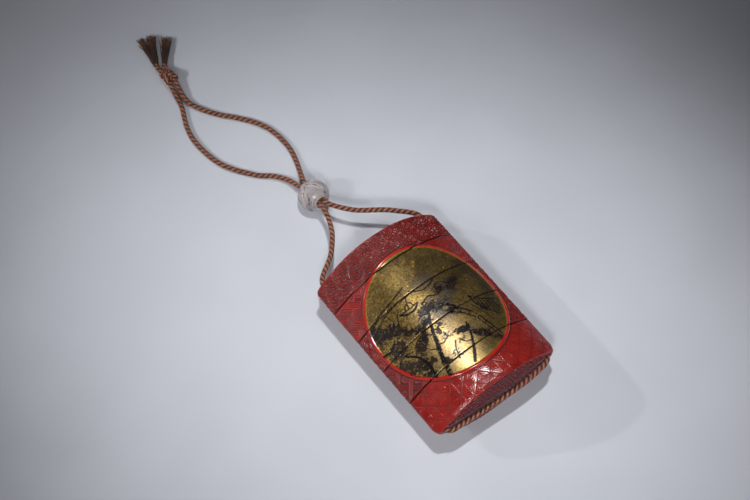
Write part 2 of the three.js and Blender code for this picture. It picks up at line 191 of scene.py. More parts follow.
def skin_row(s, y, depth):
    """Places on the case's side at distance s round it, cut in by depth."""
    cx, cz, nx, nz = section_at(s)
    radius = EDGE_RADIUS - depth
    return np.stack([cx + radius * nx, y * np.ones_like(s), cz + radius * nz + MID], 1)


def end_face(x, end):
    """Length at which an end's face meets its lip, and how far out x is. The lid's end is 1 and the
    base's is -1."""
    reach = np.clip(np.abs(x) / HALF_WIDTH, 0, 1)
    dome = BODY_TOP - LID_DOME * reach**2 if end > 0 else BODY_BOTTOM + BASE_DOME * reach**2
    return dome - end * END_SWELL * (1 - reach**2), reach


def lip_row(s, end, turn, depth):
    """Places on the rounding between the side and an end; turn runs from 0 to a quarter turn."""
    cx, cz, nx, nz = section_at(s)
    drawn_in = 1 - math.cos(turn)
    lip = LID_LIP_RADIUS if end > 0 else LIP_RADIUS
    radius = EDGE_RADIUS - lip * drawn_in - depth * math.cos(turn)
    x = (cx + radius * nx) * (1 - (CORNER_RADIUS - LIP_RADIUS) / HALF_WIDTH * drawn_in)
    face, reach = end_face(x, end)
    round_radius = lip + (CORNER_RADIUS - LIP_RADIUS) * reach**4
    y = face - end * round_radius * (1 - math.sin(turn)) - end * depth * math.sin(turn)
    return np.stack([x, y, cz + radius * nz + MID], 1)


def face_row(s, end, share, depth):
    """Places on an end's face; share runs from 1 at the lip to 0 at the middle line."""
    flat = lip_row(s, end, math.pi / 2, 0)
    x = flat[:, 0]
    z = (flat[:, 2] - MID) * share
    face, reach = end_face(x, end)
    y = face + end * END_SWELL * (1 - share**2) * (1 - reach**2) - end * depth
    return np.stack([x, y, z + MID], 1)


def hollow_line(inset, reach):
    """Outline of a hollow or riser as a closed line, from the back's middle over the left."""
    flat = reach - HOLLOW_CORNER
    xs = np.linspace(0, CORE_HALF_WIDTH, HOLLOW_SAMPLES)
    angle = np.linspace(0, math.pi / 2, HOLLOW_CORNER_POINTS)

    def half(side):
        z, nx, nz = core_outline(xs, side)
        radius = EDGE_RADIUS - inset
        outline_x, outline_z = xs + radius * nx, z + radius * nz
        top = np.linspace(0, flat, HOLLOW_SIDE_POINTS)
        height = np.interp(top, outline_x, outline_z)
        corner_x = flat + HOLLOW_CORNER * np.sin(angle[1:])
        corner_z = height[-1] - side * HOLLOW_CORNER * (1 - np.cos(angle[1:]))
        return np.r_[top, corner_x], np.r_[height, corner_z]

    front_x, front_z = half(1)
    back_x, back_z = half(-1)
    x = np.r_[-back_x, -front_x[::-1], front_x[1:], back_x[::-1]]
    z = np.r_[back_z, front_z[::-1], front_z[1:], back_z[::-1]]
    distance = np.r_[0, np.cumsum(np.hypot(np.diff(x), np.diff(z)))]
    return x, z, distance / distance[-1] * 2 - 1


def hollow_row(inset, reach, y):
    """Places on the outline of a hollow or riser at length y."""
    x, z, share = hollow_line(inset, reach)
    wanted = COARSE_S / HALF_ROUND
    at_x, at_z = np.interp(wanted, share, x), np.interp(wanted, share, z)
    return np.stack([at_x, np.full_like(wanted, y), at_z + MID], 1)


# Diapers: height of the carving over distance s and length y, 1 on top and 0 in the ground.
# Each side's pitch is a whole share of the way round, so its pattern meets itself on the back.
ROUND = 2 * HALF_ROUND
STAR_PETALS = 13
STAR_STROKES = 15


def wrapped(value, pitch):
    """Offset from the nearest whole multiple of the pitch."""
    return value - pitch * np.round(value / pitch)


def nearest_of_rows(s, y, pitch, row_pitch, s_start, y_start):
    """Offset from the nearest point of a lattice whose odd rows are shifted by half a pitch."""
    best = np.full(s.shape, 1e9)
    near_s, near_y = np.zeros_like(s), np.zeros_like(s)
    first = np.round((y - y_start) / row_pitch)
    for step in (-1, 0, 1):
        row = first + step
        ds = wrapped(s - s_start - (row % 2) * pitch / 2, pitch)
        dy = y - y_start - row * row_pitch
        size = ds * ds + dy * dy
        closer = size < best
        best = np.where(closer, size, best)
        near_s = np.where(closer, ds, near_s)
        near_y = np.where(closer, dy, near_y)
    return near_s, near_y


def star_ground(s, y):
    """Stars of fine petals round each centre, and short strokes from there to the next stars."""
    pitch, row_pitch, s_start, y_start = ROUND / 20, 5.65, -0.25 + ROUND / 40, 34.4
    ds, dy = nearest_of_rows(s, y, pitch, row_pitch, s_start, y_start)
    r, angle = np.hypot(ds, dy), np.arctan2(dy, ds)
    petal = smooth(0.1, 0.95, 0.5 + 0.5 * np.cos(STAR_PETALS * angle)) * smooth(0.3, 0.65, r)
    petal *= 1 - smooth(2.1, 2.45, r)
    stroke = smooth(0.1, 0.95, 0.5 + 0.5 * np.cos(STAR_STROKES * angle + 0.9))
    stroke = stroke * smooth(2.45, 2.8, r)
    heart = 0.4 * (1 - smooth(0.1, 0.3, r))
    return np.maximum(np.maximum(petal, stroke), heart)


def slanting(s, y, u_start=0.0, v_start=0.0):
    """Places along two directions that slant by an eighth of a turn."""
    return (s + y) / math.sqrt(2) - u_start, (y - s) / math.sqrt(2) - v_start


def plait_ground(s, y):
    """Herringbone of short slats with three cut lines in each."""
    width = ROUND / 35 / math.sqrt(2)
    u, v = slanting(s, y)
    i, j = np.floor(u / width), np.floor(v / width)
    lying = ((i + j) % 4) < 2
    across = np.where(lying, v / width - j, u / width - i)
    along_end = np.where(lying, u / width - i, v / width - j)
    first_half = ((i + j) % 2) == 0
    to_end = np.where(first_half, along_end, 1 - along_end)
    line = np.abs(wrapped(across - 1 / 6, 1 / 3)) * 3
    cut = (1 - smooth(0.1, 0.3, line)) * smooth(0.05, 0.18, to_end)
    return 1 - cut


def tortoise_ground(s, y):
    """Hexagons one inside another."""
    pitch = ROUND / 40
    ds, dy = nearest_of_rows(s, y, pitch, pitch * math.sqrt(3) / 2, 0, 0)
    reach = np.maximum(np.abs(ds), 0.5 * np.abs(ds) + 0.866 * np.abs(dy)) * 2 / pitch
    border = smooth(0.84, 0.92, reach)
    plate = smooth(0.36, 0.44, reach) * (1 - smooth(0.6, 0.7, reach))
    boss = 1 - smooth(0.1, 0.26, reach)
    return np.maximum(np.maximum(border * 0.85, plate), boss)


def flower_ground(s, y):
    """Slanting bands of three threads that cross, with a small flower in each opening."""
    pitch = ROUND / 17 / math.sqrt(2)
    u, v = slanting(s, y, 0.8, 1.6)
    du, dv = wrapped(u, pitch), wrapped(v, pitch)
    over = ((np.round(u / pitch) + np.round(v / pitch)) % 2) == 0
    half = 1.05

    def threads(across):
        ridges = 0.5 + 0.5 * np.cos(across / half * 3 * math.pi)
        return ridges * (1 - smooth(half * 0.92, half, np.abs(across)))

    in_u, in_v = np.abs(du) < half, np.abs(dv) < half
    along_u, along_v = threads(du), threads(dv)
    crossing = np.where(over, along_u, along_v)
    bands = np.where(in_u & in_v, crossing, np.where(in_u, along_u, along_v))
    fu, fv = wrapped(u - pitch / 2, pitch), wrapped(v - pitch / 2, pitch)
    r, angle = np.hypot(fu, fv), np.arctan2(fv, fu)
    petals = (0.5 + 0.5 * np.cos(8 * angle)) ** 0.6
    petals = petals * smooth(0.5, 0.75, r) * (1 - smooth(1.3, 1.6, r))
    heart = 1 - smooth(0.25, 0.45, r)
    return np.maximum(np.maximum(bands, petals), heart)


def square_ground(s, y):
    """Squares one inside another, standing on their corners, with mitred diagonals."""
    pitch = ROUND / 19 / math.sqrt(2)
    u, v = slanting(s, y, -0.13, -4.4)
    a, b = np.abs(wrapped(u - pitch / 2, pitch)), np.abs(wrapped(v - pitch / 2, pitch))
    out = np.maximum(a, b) * 2 / pitch
    mitre = 1 - smooth(0.03, 0.2, np.abs(a - b))
    border = smooth(0.91, 0.99, out)
    spacing = 0.26
    nested = 1 - smooth(0.1, 0.45, np.abs(wrapped(out - 0.12, spacing)) / spacing * 2)
    lines = np.maximum(border * 0.85, mitre * 0.85)
    return 1 - 0.75 * np.maximum(lines, np.maximum(nested * 0.6, 0.5 * out))


def scale_ground(x, z):
    """Rows of small scales on the ends, row by row towards the lip."""
    row_height, pitch, start = 2.1, 1.9, 4.0
    height = (np.abs(z) - start) / row_height
    row = np.floor(height)
    up = height - row
    across = np.abs(wrapped(x - (row % 2) * pitch / 2, pitch)) / (pitch / 2)
    edge = up - 0.85 * np.sqrt(np.clip(1 - across**2, 0, 1))
    scale = (1 - smooth(-0.12, 0.02, edge)) * (0.35 + 0.65 * smooth(0.0, 0.75, up))
    rib = 0.25 * (1 - smooth(0.0, 0.22, across))
    return np.clip(scale + rib * scale, 0, 1)


# The ground of each tier from the lid down, and how deep it is cut in millimetres
GROUNDS = (
    (star_ground, 0.42),
    (plait_ground, 0.2),
    (tortoise_ground, 0.38),
    (flower_ground, 0.3),
    (square_ground, 0.34),
)


def cloud(s, y, size, seed):
    """Soft noise from 0 to 1."""
    grid = np.random.RandomState(seed).rand(64, 64)
    total, weight = np.zeros_like(s), 0.0
    for octave in range(4):
        scale = size / 2**octave
        gs, gy = (s / scale + 17 * octave) % 63, (y / scale + 29 * octave) % 63
        i, j = gs.astype(int), gy.astype(int)
        fs, fy = smooth(0, 1, gs - i), smooth(0, 1, gy - j)
        low = grid[i, j] * (1 - fs) + grid[i + 1, j] * fs
        high = grid[i, j + 1] * (1 - fs) + grid[i + 1, j + 1] * fs
        part = 0.55**octave
        total += part * (low * (1 - fy) + high * fy)
        weight += part
    return total / weight


def curve_through(points, steps=12):
    """A smooth curve through points, in a plane or in space."""
    points = np.array(points, float)
    padded = np.vstack([2 * points[0] - points[1], points, 2 * points[-1] - points[-2]])
    out = []
    for k in range(1, len(padded) - 2):
        p0, p1, p2, p3 = padded[k - 1 : k + 3]
        turn, bend = 2 * p0 - 5 * p1 + 4 * p2 - p3, 3 * p1 - p0 - 3 * p2 + p3
        for t in np.linspace(0, 1, steps, endpoint=False):
            out.append(0.5 * (2 * p1 + (p2 - p0) * t + turn * t**2 + bend * t**3))
    out.append(padded[-2])
    return np.array(out)


def brush(s, y, points, start_width, end_width, ragged=0.25, seed=3):
    """A brush stroke through points, as darkness from 0 to 1."""
    line = curve_through(points)
    wide = max(start_width, end_width) + 1.0
    low, high = line.min(0) - wide, line.max(0) + wide
    near = (s > low[0]) & (s < high[0]) & (y > low[1]) & (y < high[1])
    dark = np.zeros_like(s)
    if not near.any():
        return dark
    ps, py = s[near], y[near]
    best, width = np.full(ps.shape, 1e9), np.zeros_like(ps)
    for k in range(len(line) - 1):
        a, d = line[k], line[k + 1] - line[k]
        t = np.clip(((ps - a[0]) * d[0] + (py - a[1]) * d[1]) / (d @ d + 1e-9), 0, 1)
        away = np.hypot(ps - a[0] - t * d[0], py - a[1] - t * d[1])
        here = start_width + (end_width - start_width) * (k + t) / (len(line) - 1)
        closer = away < best
        best, width = np.where(closer, away, best), np.where(closer, here, width)
    rough = (cloud(ps, py, 1.1, seed) - 0.5) * ragged * 2
    half = width / 2 * (1 + rough)
    dark[near] = 1 - smooth(half * 0.75, half + 0.12, best)
    return dark


def spot(s, y, centre, reach_s, reach_y, turn=0.0):
    """A soft round or long patch that is 1 in its middle."""
    c, n = math.cos(math.radians(turn)), math.sin(math.radians(turn))
    ds, dy = s - centre[0], y - centre[1]
    return np.exp(-(((ds * c + dy * n) / reach_s) ** 2 + ((dy * c - ds * n) / reach_y) ** 2))


def dabs(s, y, clusters):
    """Small brush dabs that make the foliage, in the clusters that FOLIAGE lists."""
    dark = np.zeros_like(s)
    for k, (cs, cy, reach_s, reach_y, slant, count, size) in enumerate(clusters):
        rng = np.random.RandomState(100 + k)
        c, n = math.cos(math.radians(slant)), math.sin(math.radians(slant))
        wide = max(reach_s, reach_y) * 1.9 + 2
        near = (np.abs(s - cs) < wide) & (np.abs(y - cy) < wide)
        if not near.any():
            continue
        ps, py = s[near], y[near]
        found = np.zeros_like(ps)
        for _ in range(count):
            u, v = rng.normal(0, 0.55, 2)
            ds, dy = cs + reach_s * u * c - reach_y * v * n, cy + reach_s * u * n + reach_y * v * c
            way = math.radians(slant + rng.normal(0, 40))
            long, thin = size * rng.uniform(0.6, 1.5), size * rng.uniform(0.28, 0.5)
            a = ((ps - ds) * math.cos(way) + (py - dy) * math.sin(way)) / long
            b = ((py - dy) * math.cos(way) - (ps - ds) * math.sin(way)) / thin
            dab = (1 - smooth(0.55, 1.15, np.hypot(a, b))) * rng.uniform(0.7, 1.0)
            found = np.maximum(found, dab)
        dark[near] = np.maximum(dark[near], found)
    return dark


def paint_picture(s, y):
    """Strengths of the haze, the blue-grey wash, the brown-black masses and the ink, and of the
    bright flecks and of the painted sheen, a pale patch that paints the lamp's highlight on the
    gold."""
    broad, fine, grain = cloud(s, y, 11, 5), cloud(s, y, 2.2, 6), cloud(s, y, 0.9, 7)
    haze = sum(strength * spot(s, y, *patch) for strength, *patch in HAZE)
    # The haze also darkens the gold evenly towards the top and towards the left.
    haze = haze + 0.22 * smooth(2, 26, y) + 0.2 * smooth(8, 26, -s)
    haze = np.clip(haze * (0.5 + 1.0 * broad) * (0.7 + 0.6 * fine), 0, 0.95)

    wash = sum(strength * spot(s, y, *patch) for strength, *patch in WASH)
    wash = np.clip(wash * 1.5 * smooth(0.36, 0.6, 0.45 * broad + 0.35 * fine + 0.2 * grain), 0, 1)

    bank = np.zeros_like(s)
    for strength, *patch in BANKS:
        bank = np.maximum(bank, strength * spot(s, y, *patch))
    along, across = s * 0.8 + y * 0.6 + 60, y * 0.8 - s * 0.6 + 60
    ragged = cloud(along / 2.4, across, 1.5, 11) * 0.6 + cloud(along / 1.6, across, 0.8, 12) * 0.4
    masses = smooth(0.0, 0.09, bank * 1.15 + ragged * 1.25 - 1.04)

    ink = dabs(s, y, FOLIAGE)
    for points, wide, thin, ragged_by in PICTURE_STROKES:
        ink = np.maximum(ink, brush(s, y, points, wide, thin, ragged_by))
    worn = 1 - 0.4 * smooth(0.62, 0.72, cloud(s, y, 0.8, 31))
    bright = np.zeros_like(s)
    for (fs, fy), size in GOLD_FLECKS:
        away = np.hypot(s - fs, y - fy) * (0.75 + 0.5 * grain)
        bright = np.maximum(bright, 1 - smooth(size * 0.5, size, away))
    bright = np.maximum(bright, smooth(0.78, 0.83, cloud(s, y, 0.9, 51)) * 0.7)
    # Painted sheen: a pale patch on the gold where the lamp's highlight falls.
    pale = spot(s, y, (-5, -19), 11, 13) * (0.7 + 0.5 * broad)
    return haze, wash, masses * worn, ink * worn, bright, pale


# Strength, middle, reaches and slant of the haze, the wash and the dark banks and rocks
HAZE = (
    (0.95, (12, 5), 9, 6, 20),
    (0.7, (10, 17), 13, 8),
    (0.95, (28, 4), 8, 13),
    (0.75, (22, -13), 9, 9),
    (0.4, (-25, 12), 6, 12),
    (0.5, (-3, 27), 12, 3.5),
    (0.7, (10, -25), 8, 4, 30),
    (0.35, (-10, 14), 8, 4),
)
WASH = (
    (1.0, (0, 0), 6.5, 4),
    (0.9, (-5, -3.5), 4, 3.5),
    (0.6, (4, -6), 5, 3),
    (0.7, (-4, -12), 4, 6),
    (0.7, (-5, -22), 5, 4),
    (0.5, (7, 5), 5, 4),
    (0.4, (3, 12), 6, 3),
    (0.5, (5, -17), 4, 3),
)
BANKS = (
    (1.0, (-27.5, 6.5), 5, 3.4, 25),
    (0.95, (-20.5, 2.5), 6.5, 3.0, -20),
    (0.9, (-13.5, -3.6), 5.5, 2.2, -25),
    (0.9, (-23.5, -4.8), 5.5, 4.2, 10),
    (1.0, (-14.0, -9.4), 5.5, 2.8, 30),
    (1.0, (-25.5, -13.0), 5.5, 3.6, -45),
    (0.95, (-18.5, -16.8), 5.5, 2.8, -30),
    (0.85, (-20.5, -22.0), 5.0, 2.2, -25),
    (0.8, (-11.5, -21.5), 3.0, 1.6, -60),
    (0.9, (2.5, -15.2), 3.6, 1.8, -10),
    (0.9, (8.0, -21.2), 4.6, 2.2, -35),
    (0.85, (12.4, 4.2), 4.2, 2.0, 25),
    (0.8, (6.0, 5.0), 2.6, 1.6, 10),
    (0.75, (-1.0, 1.0), 3.6, 2.0, 20),
    (0.75, (-6.8, -3.6), 3.0, 1.8, 0),
    (0.7, (3.6, -5.4), 3.0, 1.6, -30),
    (0.7, (16.6, -10.6), 2.4, 3.4, 10),
    (0.7, (-5.6, -10.6), 1.6, 2.4, 20),
    (0.8, (12.6, -26.2), 3.4, 1.8, -30),
)

# Middle, reaches, slant, number of dabs and their size
FOLIAGE = (
    (-4.6, 1.6, 3.4, 1.7, 20, 46, 0.75),
    (0.8, -0.8, 3.8, 1.9, 10, 52, 0.75),
    (-9.0, -3.4, 3.0, 1.5, 20, 36, 0.7),
    (-3.4, -7.8, 2.2, 1.6, 0, 26, 0.7),
    (-12.4, -8.2, 3.0, 1.3, 20, 30, 0.7),
    (-4.6, -14.4, 1.8, 1.2, 0, 16, 0.6),
    (2.4, -15.6, 3.4, 1.5, -10, 44, 0.7),
    (8.4, -20.8, 3.2, 1.8, -35, 40, 0.7),
    (-0.6, -18.6, 2.0, 1.2, 0, 16, 0.6),
    (6.2, 5.4, 3.0, 1.4, 15, 30, 0.7),
    (12.6, 5.4, 3.4, 1.4, 20, 34, 0.8),
    (-25.5, 3.0, 3.4, 2.4, 20, 44, 0.8),
    (-27.4, -3.2, 2.6, 2.6, 60, 34, 0.8),
    (-18.0, -1.0, 3.8, 1.6, -20, 34, 0.8),
    (-22.0, -18.6, 3.6, 2.0, -35, 40, 0.8),
    (-15.5, -13.6, 2.6, 1.4, 40, 22, 0.7),
    (-6.0, -22.4, 1.6, 2.2, 20, 22, 0.6),
    (5.6, -8.0, 2.4, 1.2, -30, 22, 0.6),
)

# Middle and size of the brightest flecks
GOLD_FLECKS = (
    ((5.5, 21.3), 0.8),
    ((4.3, 19.7), 0.6),
    ((-8.4, 24.2), 0.5),
    ((-16.2, 16.4), 0.5),
    ((1.4, 16.2), 0.45),
    ((-21.0, 9.0), 0.5),
    ((14.8, 12.6), 0.5),
    ((-3.2, 13.8), 0.6),
    ((-11.6, 19.0), 0.4),
    ((20.2, 3.0), 0.4),
)

# Points, width at the start, width at the end and raggedness of the brush strokes
PICTURE_STROKES = (
    # leaning pine in the middle
    (((-5.4, -3.0), (-8.0, -9.2), (-9.4, -13.5), (-11.4, -18.5), (-13.6, -27.0)), 1.3, 2.5, 0.3),
    (((-8.4, -9.8), (-11.0, -8.0), (-14.4, -8.6)), 0.9, 0.45, 0.3),
    (((-8.0, -8.0), (-5.6, -8.6), (-2.8, -7.2)), 0.9, 0.4, 0.3),
    (((-9.8, -14.0), (-7.4, -15.1), (-4.4, -14.0)), 0.8, 0.35, 0.3),
    (((-10.6, -16.2), (-12.8, -14.2), (-15.4, -13.6)), 0.7, 0.35, 0.3),
    (((-5.6, -3.6), (-4.2, -1.6), (-4.3, 0.8), (-2.0, 3.0)), 1.3, 0.6, 0.35),
    (((-4.2, -1.4), (-6.9, -0.2), (-9.4, -1.2)), 0.7, 0.35, 0.3),
    (((-4.0, -0.6), (-1.2, -0.6), (1.6, -1.8), (4.4, -1.0)), 0.8, 0.4, 0.3),
    # thin tree on the right
    (((5.4, -13.6), (3.8, -18.6), (1.8, -22.4), (-0.2, -25.8), (-2.6, -29.2)), 0.9, 1.6, 0.3),
    (((3.9, -18.0), (6.4, -18.2), (9.4, -21.0)), 0.75, 0.4, 0.3),
    (((4.6, -16.2), (2.0, -15.2), (-0.6, -16.0)), 0.65, 0.35, 0.3),
    (((2.4, -21.2), (0.2, -20.4), (-1.4, -18.2)), 0.6, 0.3, 0.3),
    (((-3.2, -17.4), (-5.2, -20.4), (-6.4, -24.6)), 0.6, 0.4, 0.5),
    # shore lines on the left
    (((-28.4, 8.6), (-20.5, 11.6), (-13.0, 12.6), (-5.4, 14.6)), 0.95, 0.6, 0.25),
    (((-26.5, 7.0), (-18.8, 9.6), (-11.4, 10.6)), 0.75, 0.45, 0.25),
    (((-4.4, 11.4), (0.0, 8.8), (3.8, 8.9), (6.8, 10.2)), 0.5, 0.7, 0.3),
    (((-12.0, 9.4), (-8.0, 10.4), (-5.6, 10.2)), 0.45, 0.4, 0.25),
    # small boat
    (((-13.4, 5.6), (-10.6, 3.8), (-7.0, 3.8), (-4.6, 5.6)), 1.2, 0.8, 0.2),
    (((-12.2, 5.6), (-8.4, 5.2), (-5.4, 5.7)), 0.55, 0.5, 0.2),
    (((-10.8, 5.4), (-9.6, 7.4), (-7.4, 7.6), (-6.6, 5.6)), 0.65, 0.5, 0.2),
    (((-9.0, 5.6), (-8.0, 8.6), (-6.8, 10.6)), 0.5, 0.35, 0.2),
    # reeds
    (((-22.6, 1.6), (-22.0, 5.0), (-23.6, 8.0)), 0.65, 0.35, 0.2),
    (((-18.6, 3.2), (-17.4, 5.6), (-18.0, 8.4)), 0.65, 0.35, 0.2),
    (((-16.4, 3.0), (-14.6, 6.4), (-12.6, 8.2)), 0.65, 0.35, 0.2),
    (((-20.4, 2.6), (-19.6, 5.2), (-19.2, 8.6)), 0.55, 0.3, 0.2),
    # arched bridge on the right
    (((4.0, -4.4), (8.2, -7.6), (11.6, -12.4), (13.4, -18.4), (14.9, -25.4)), 0.95, 0.7, 0.2),
    (((3.4, -6.2), (7.2, -9.4), (10.4, -14.0), (12.1, -19.6), (13.4, -26.0)), 0.7, 0.55, 0.2),
    (((4.4, -2.6), (6.4, -5.4), (6.4, -8.6)), 1.8, 1.1, 0.3),
    (((7.6, -7.2), (6.8, -9.0)), 0.6, 0.5, 0.2),
    (((9.8, -10.0), (8.9, -11.9)), 0.6, 0.5, 0.2),
    (((12.0, -13.6), (10.8, -15.0)), 0.6, 0.5, 0.2),
    (((13.0, -17.2), (11.6, -18.2)), 0.6, 0.5, 0.2),
    (((13.9, -21.0), (12.5, -21.8)), 0.6, 0.5, 0.2),
    # hut roof on the right
    (((14.4, -4.0), (18.6, -7.2), (25.4, -9.8)), 1.0, 0.65, 0.25),
    (((14.4, -4.0), (15.0, -8.6), (17.4, -12.8), (20.8, -16.4)), 0.7, 0.6, 0.25),
    (((16.4, -6.4), (16.4, -9.8)), 0.6, 0.5, 0.2),
    (((17.8, -7.6), (17.8, -12.0)), 0.65, 0.55, 0.2),
    (((19.2, -8.4), (19.2, -13.6)), 0.65, 0.55, 0.2),
    (((20.6, -9.0), (20.6, -15.0)), 0.65, 0.55, 0.2),
    (((22.0, -9.6), (22.0, -15.6)), 0.65, 0.55, 0.2),
    (((23.4, -10.0), (23.4, -15.2)), 0.6, 0.5, 0.2),
    (((12.6, -7.6), (15.0, -13.0), (16.8, -18.4)), 0.6, 0.4, 0.25),
    # rocks and far shore
    (((-3.8, 3.6), (0.2, 5.0), (3.6, 3.4), (6.4, 3.8)), 0.65, 0.45, 0.5),
    (((5.0, 6.8), (7.6, 8.0), (10.6, 6.2)), 0.65, 0.4, 0.4),
    (((-29.8, -2.0), (-25.4, -2.8), (-22.4, -0.8)), 1.1, 0.6, 0.4),
    (((-22.6, -9.0), (-18.8, -13.4), (-17.6, -19.4), (-18.6, -24.4)), 1.2, 1.0, 0.4),
    (((-27.0, -9.4), (-23.0, -8.4), (-19.4, -9.6)), 0.9, 0.6, 0.4),
)


PAINTED = ("haze", "wash", "masses", "ink", "bright", "pale")
FAR = 1e3


class Loops:
    """Rows of places that become one closed mesh, with a value of each finish at every place."""

    FINISHES = ("carved", "ring", "gold", *PAINTED, "inside", "end")

    def __init__(self):
        self.rows, self.finishes = [], []

    def add(self, row, **finish):
        self.rows.append(row)
        given = {"carved": 1.0, **finish}
        whole = np.ones(len(row))
        self.finishes.append({name: given.get(name, 0.0) * whole for name in self.FINISHES})

    def mesh(self, name):
        """Joins each row to the next, which has as many places, half as many or twice as many."""
        starts = np.cumsum([0] + [len(row) for row in self.rows])
        faces = []
        for k in range(len(self.rows) - 1):
            a, b = starts[k], starts[k + 1]
            n, m = len(self.rows[k]), len(self.rows[k + 1])
            if n == m:
                i = np.arange(n)
                j = (i + 1) % n
                faces.extend(np.stack([a + i, a + j, b + j, b + i], 1).tolist())
            elif n == 2 * m:
                i = np.arange(m)
                j = (i + 1) % m
                faces.extend(np.stack([a + 2 * i, a + 2 * i + 1, b + i], 1).tolist())
                faces.extend(np.stack([a + 2 * i + 1, a + 2 * j, b + j, b + i], 1).tolist())
            else:
                i = np.arange(n)
                j = (i + 1) % n
                faces.extend(np.stack([b + 2 * i + 1, b + 2 * i, a + i], 1).tolist())
                faces.extend(np.stack([b + 2 * j, b + 2 * i + 1, a + i, a + j], 1).tolist())
        faces.extend(self.zipped(self.rows[0], starts[0], True))
        faces.extend(self.zipped(self.rows[-1], starts[-2], False))
        made = new_mesh(name, np.concatenate(self.rows) * MM, faces)
        for finish in self.FINISHES:
            add_finish(made, finish, np.concatenate([f[finish] for f in self.finishes]))
        return made

    @staticmethod
    def zipped(row, start, reverse):
        """Closes a lens-shaped row with a strip of triangles between its front and its back."""
        left, right = int(np.argmin(row[:, 0])), int(np.argmax(row[:, 0]))
        n = len(row)
        front = [(left + k) % n for k in range((right - left) % n + 1)]
        back = [(left - k) % n for k in range((left - right) % n + 1)]
        faces, i, j = [], 0, 0
        while i < len(front) - 1 or j < len(back) - 1:
            front_is_next = i < len(front) - 1 and (
                j == len(back) - 1 or row[front[i + 1], 0] < row[back[j + 1], 0]
            )
            if front_is_next:
                face = (front[i], back[j], front[i + 1])
                i += 1
            else:
                face = (front[i], back[j], back[j + 1])
                j += 1
            if len(set(face)) == 3:
                faces.append([start + k for k in (face[::-1] if reverse else face)])
        return faces


def add_finish(mesh, name, values):
    """Keeps one value for each place of a mesh, for its material to read."""
    kept = mesh.attributes.new(name, "FLOAT", "POINT")
    kept.data.foreach_set("value", np.asarray(values, np.float32))


def new_mesh(name, places, faces):
    """A mesh from places in metres and the places of each face."""
    made = bpy.data.meshes.new(name)
    made.from_pydata(places.tolist(), [], faces)
    made.validate()
    made.update()
    return made


def new_object(name, mesh):
    """An object at the origin, whose place is in its mesh."""
    made = bpy.data.objects.new(name, mesh)
    bpy.context.scene.collection.objects.link(made)
    return made


def select_only(thing):
    bpy.ops.object.select_all(action="DESELECT")
    thing.select_set(True)
    bpy.context.view_layer.objects.active = thing


def side_finish(s, y, tier, edge_low, edge_high):
    """Depth of the surface and the finishes at places on a tier's side."""
    ground, depth = GROUNDS[tier]
    to_edge = np.minimum(y - edge_low, edge_high - y)
    plain_edge = 1 - smooth(0.25, 0.45, to_edge)
    # At the very edge carved falls to 0, which eases the edge in and gives it the ground's darker
    # red as painted seam shade.
    carved = np.maximum(ground(s, y), plain_edge) * smooth(0.02, 0.2, to_edge)
    r = np.hypot(s, y - RING_CENTRE)
    outside = smooth(RING_RADIUS + RING_HALF_WIDTH, RING_RADIUS + RING_HALF_WIDTH + 0.25, r)
    trench = (1 - smooth(0.2, 0.5, np.abs(r - RING_RADIUS - RING_HALF_WIDTH - 0.3))) * outside
    carved = 1 - (1 - carved * (1 - 0.85 * trench)) * outside
    across = np.clip((r - RING_RADIUS) / RING_HALF_WIDTH, -1, 1)
    rise = RING_HEIGHT * (1 - across**2) ** 0.75
    inner = RING_RADIUS - RING_HALF_WIDTH + 0.12
    gold = 1 - smooth(inner - 0.1, inner + 0.1, r)
    ring = (1 - smooth(0.85, 1.0, np.abs(r - RING_RADIUS) / RING_HALF_WIDTH)) * (1 - gold)
    in_picture = r < RING_RADIUS
    painted = {name: np.zeros_like(s) for name in PAINTED}
    if in_picture.any():
        for name, values in zip(PAINTED, paint_picture(s[in_picture], y[in_picture])):
            painted[name][in_picture] = values
    # Painted shade along the seams: the colour darkens within a quarter millimetre of each tier's
    # edge, where the gap between the tiers lies, and it is kept with the picture's ink.
    painted_seam_shade = 1 - smooth(0.08, 0.26, to_edge)
    painted["ink"] = np.maximum(painted["ink"], painted_seam_shade)
    bright_rim = 0.4 * smooth(inner - 0.7, inner - 0.45, r) * in_picture
    painted["bright"] = np.maximum(painted["bright"], bright_rim)
    finish = {"carved": carved, "ring": ring, "gold": gold, **painted}
    return depth * (1 - carved) - rise, finish


BASE_DRAWN_IN = 0.14
BASE_DRAWN_FROM, BASE_DRAWN_TO = BODY_TOP - 3.6, BODY_TOP - 1.6
SEAM_EASE = 0.16
SEAM_EASE_REACH = 0.22


def side_rows(loops, tier, low, high, low_line=None, high_line=None):
    """Rows over a tier's side, from its upper edge down to its lower edge. An edge at a seam is
    straight and eased, and one at the lid's or the base's end follows a line."""
    s = COLUMNS_S
    low_line = np.full_like(s, low) if low_line is None else low_line
    high_line = np.full_like(s, high) if high_line is None else high_line
    count = int(round((high - low) / ROW_STEP))
    shares = np.linspace(1, 0, count + 1)
    grid_y = low_line + (high_line - low_line) * shares[:, None]
    grid_s = np.broadcast_to(s, grid_y.shape)
    edge_low = -FAR if tier == 4 else low
    edge_high = FAR if tier == 0 else high
    depth, finish = side_finish(grid_s.copy(), grid_y, tier, edge_low, edge_high)
    if tier == 4:
        depth = depth + BASE_DRAWN_IN * smooth(BASE_DRAWN_FROM, BASE_DRAWN_TO, -grid_y)
    if tier != 0:
        depth = depth + SEAM_EASE * (1 - smooth(0, SEAM_EASE_REACH, high - grid_y))
    if tier != 4:
        depth = depth + SEAM_EASE * (1 - smooth(0, SEAM_EASE_REACH, grid_y - low))
    for k in range(count + 1):
        row = skin_row(s, grid_y[k], depth[k])
        loops.add(row, **{name: values[k] for name, values in finish.items()})


LIP_TURNS = np.linspace(0, math.pi / 2, 15)[1:]
SCALE_DEPTH = 0.6
SCALES_FROM_X, SCALES_TO_X = 24, 26
FACE_REACH = 12


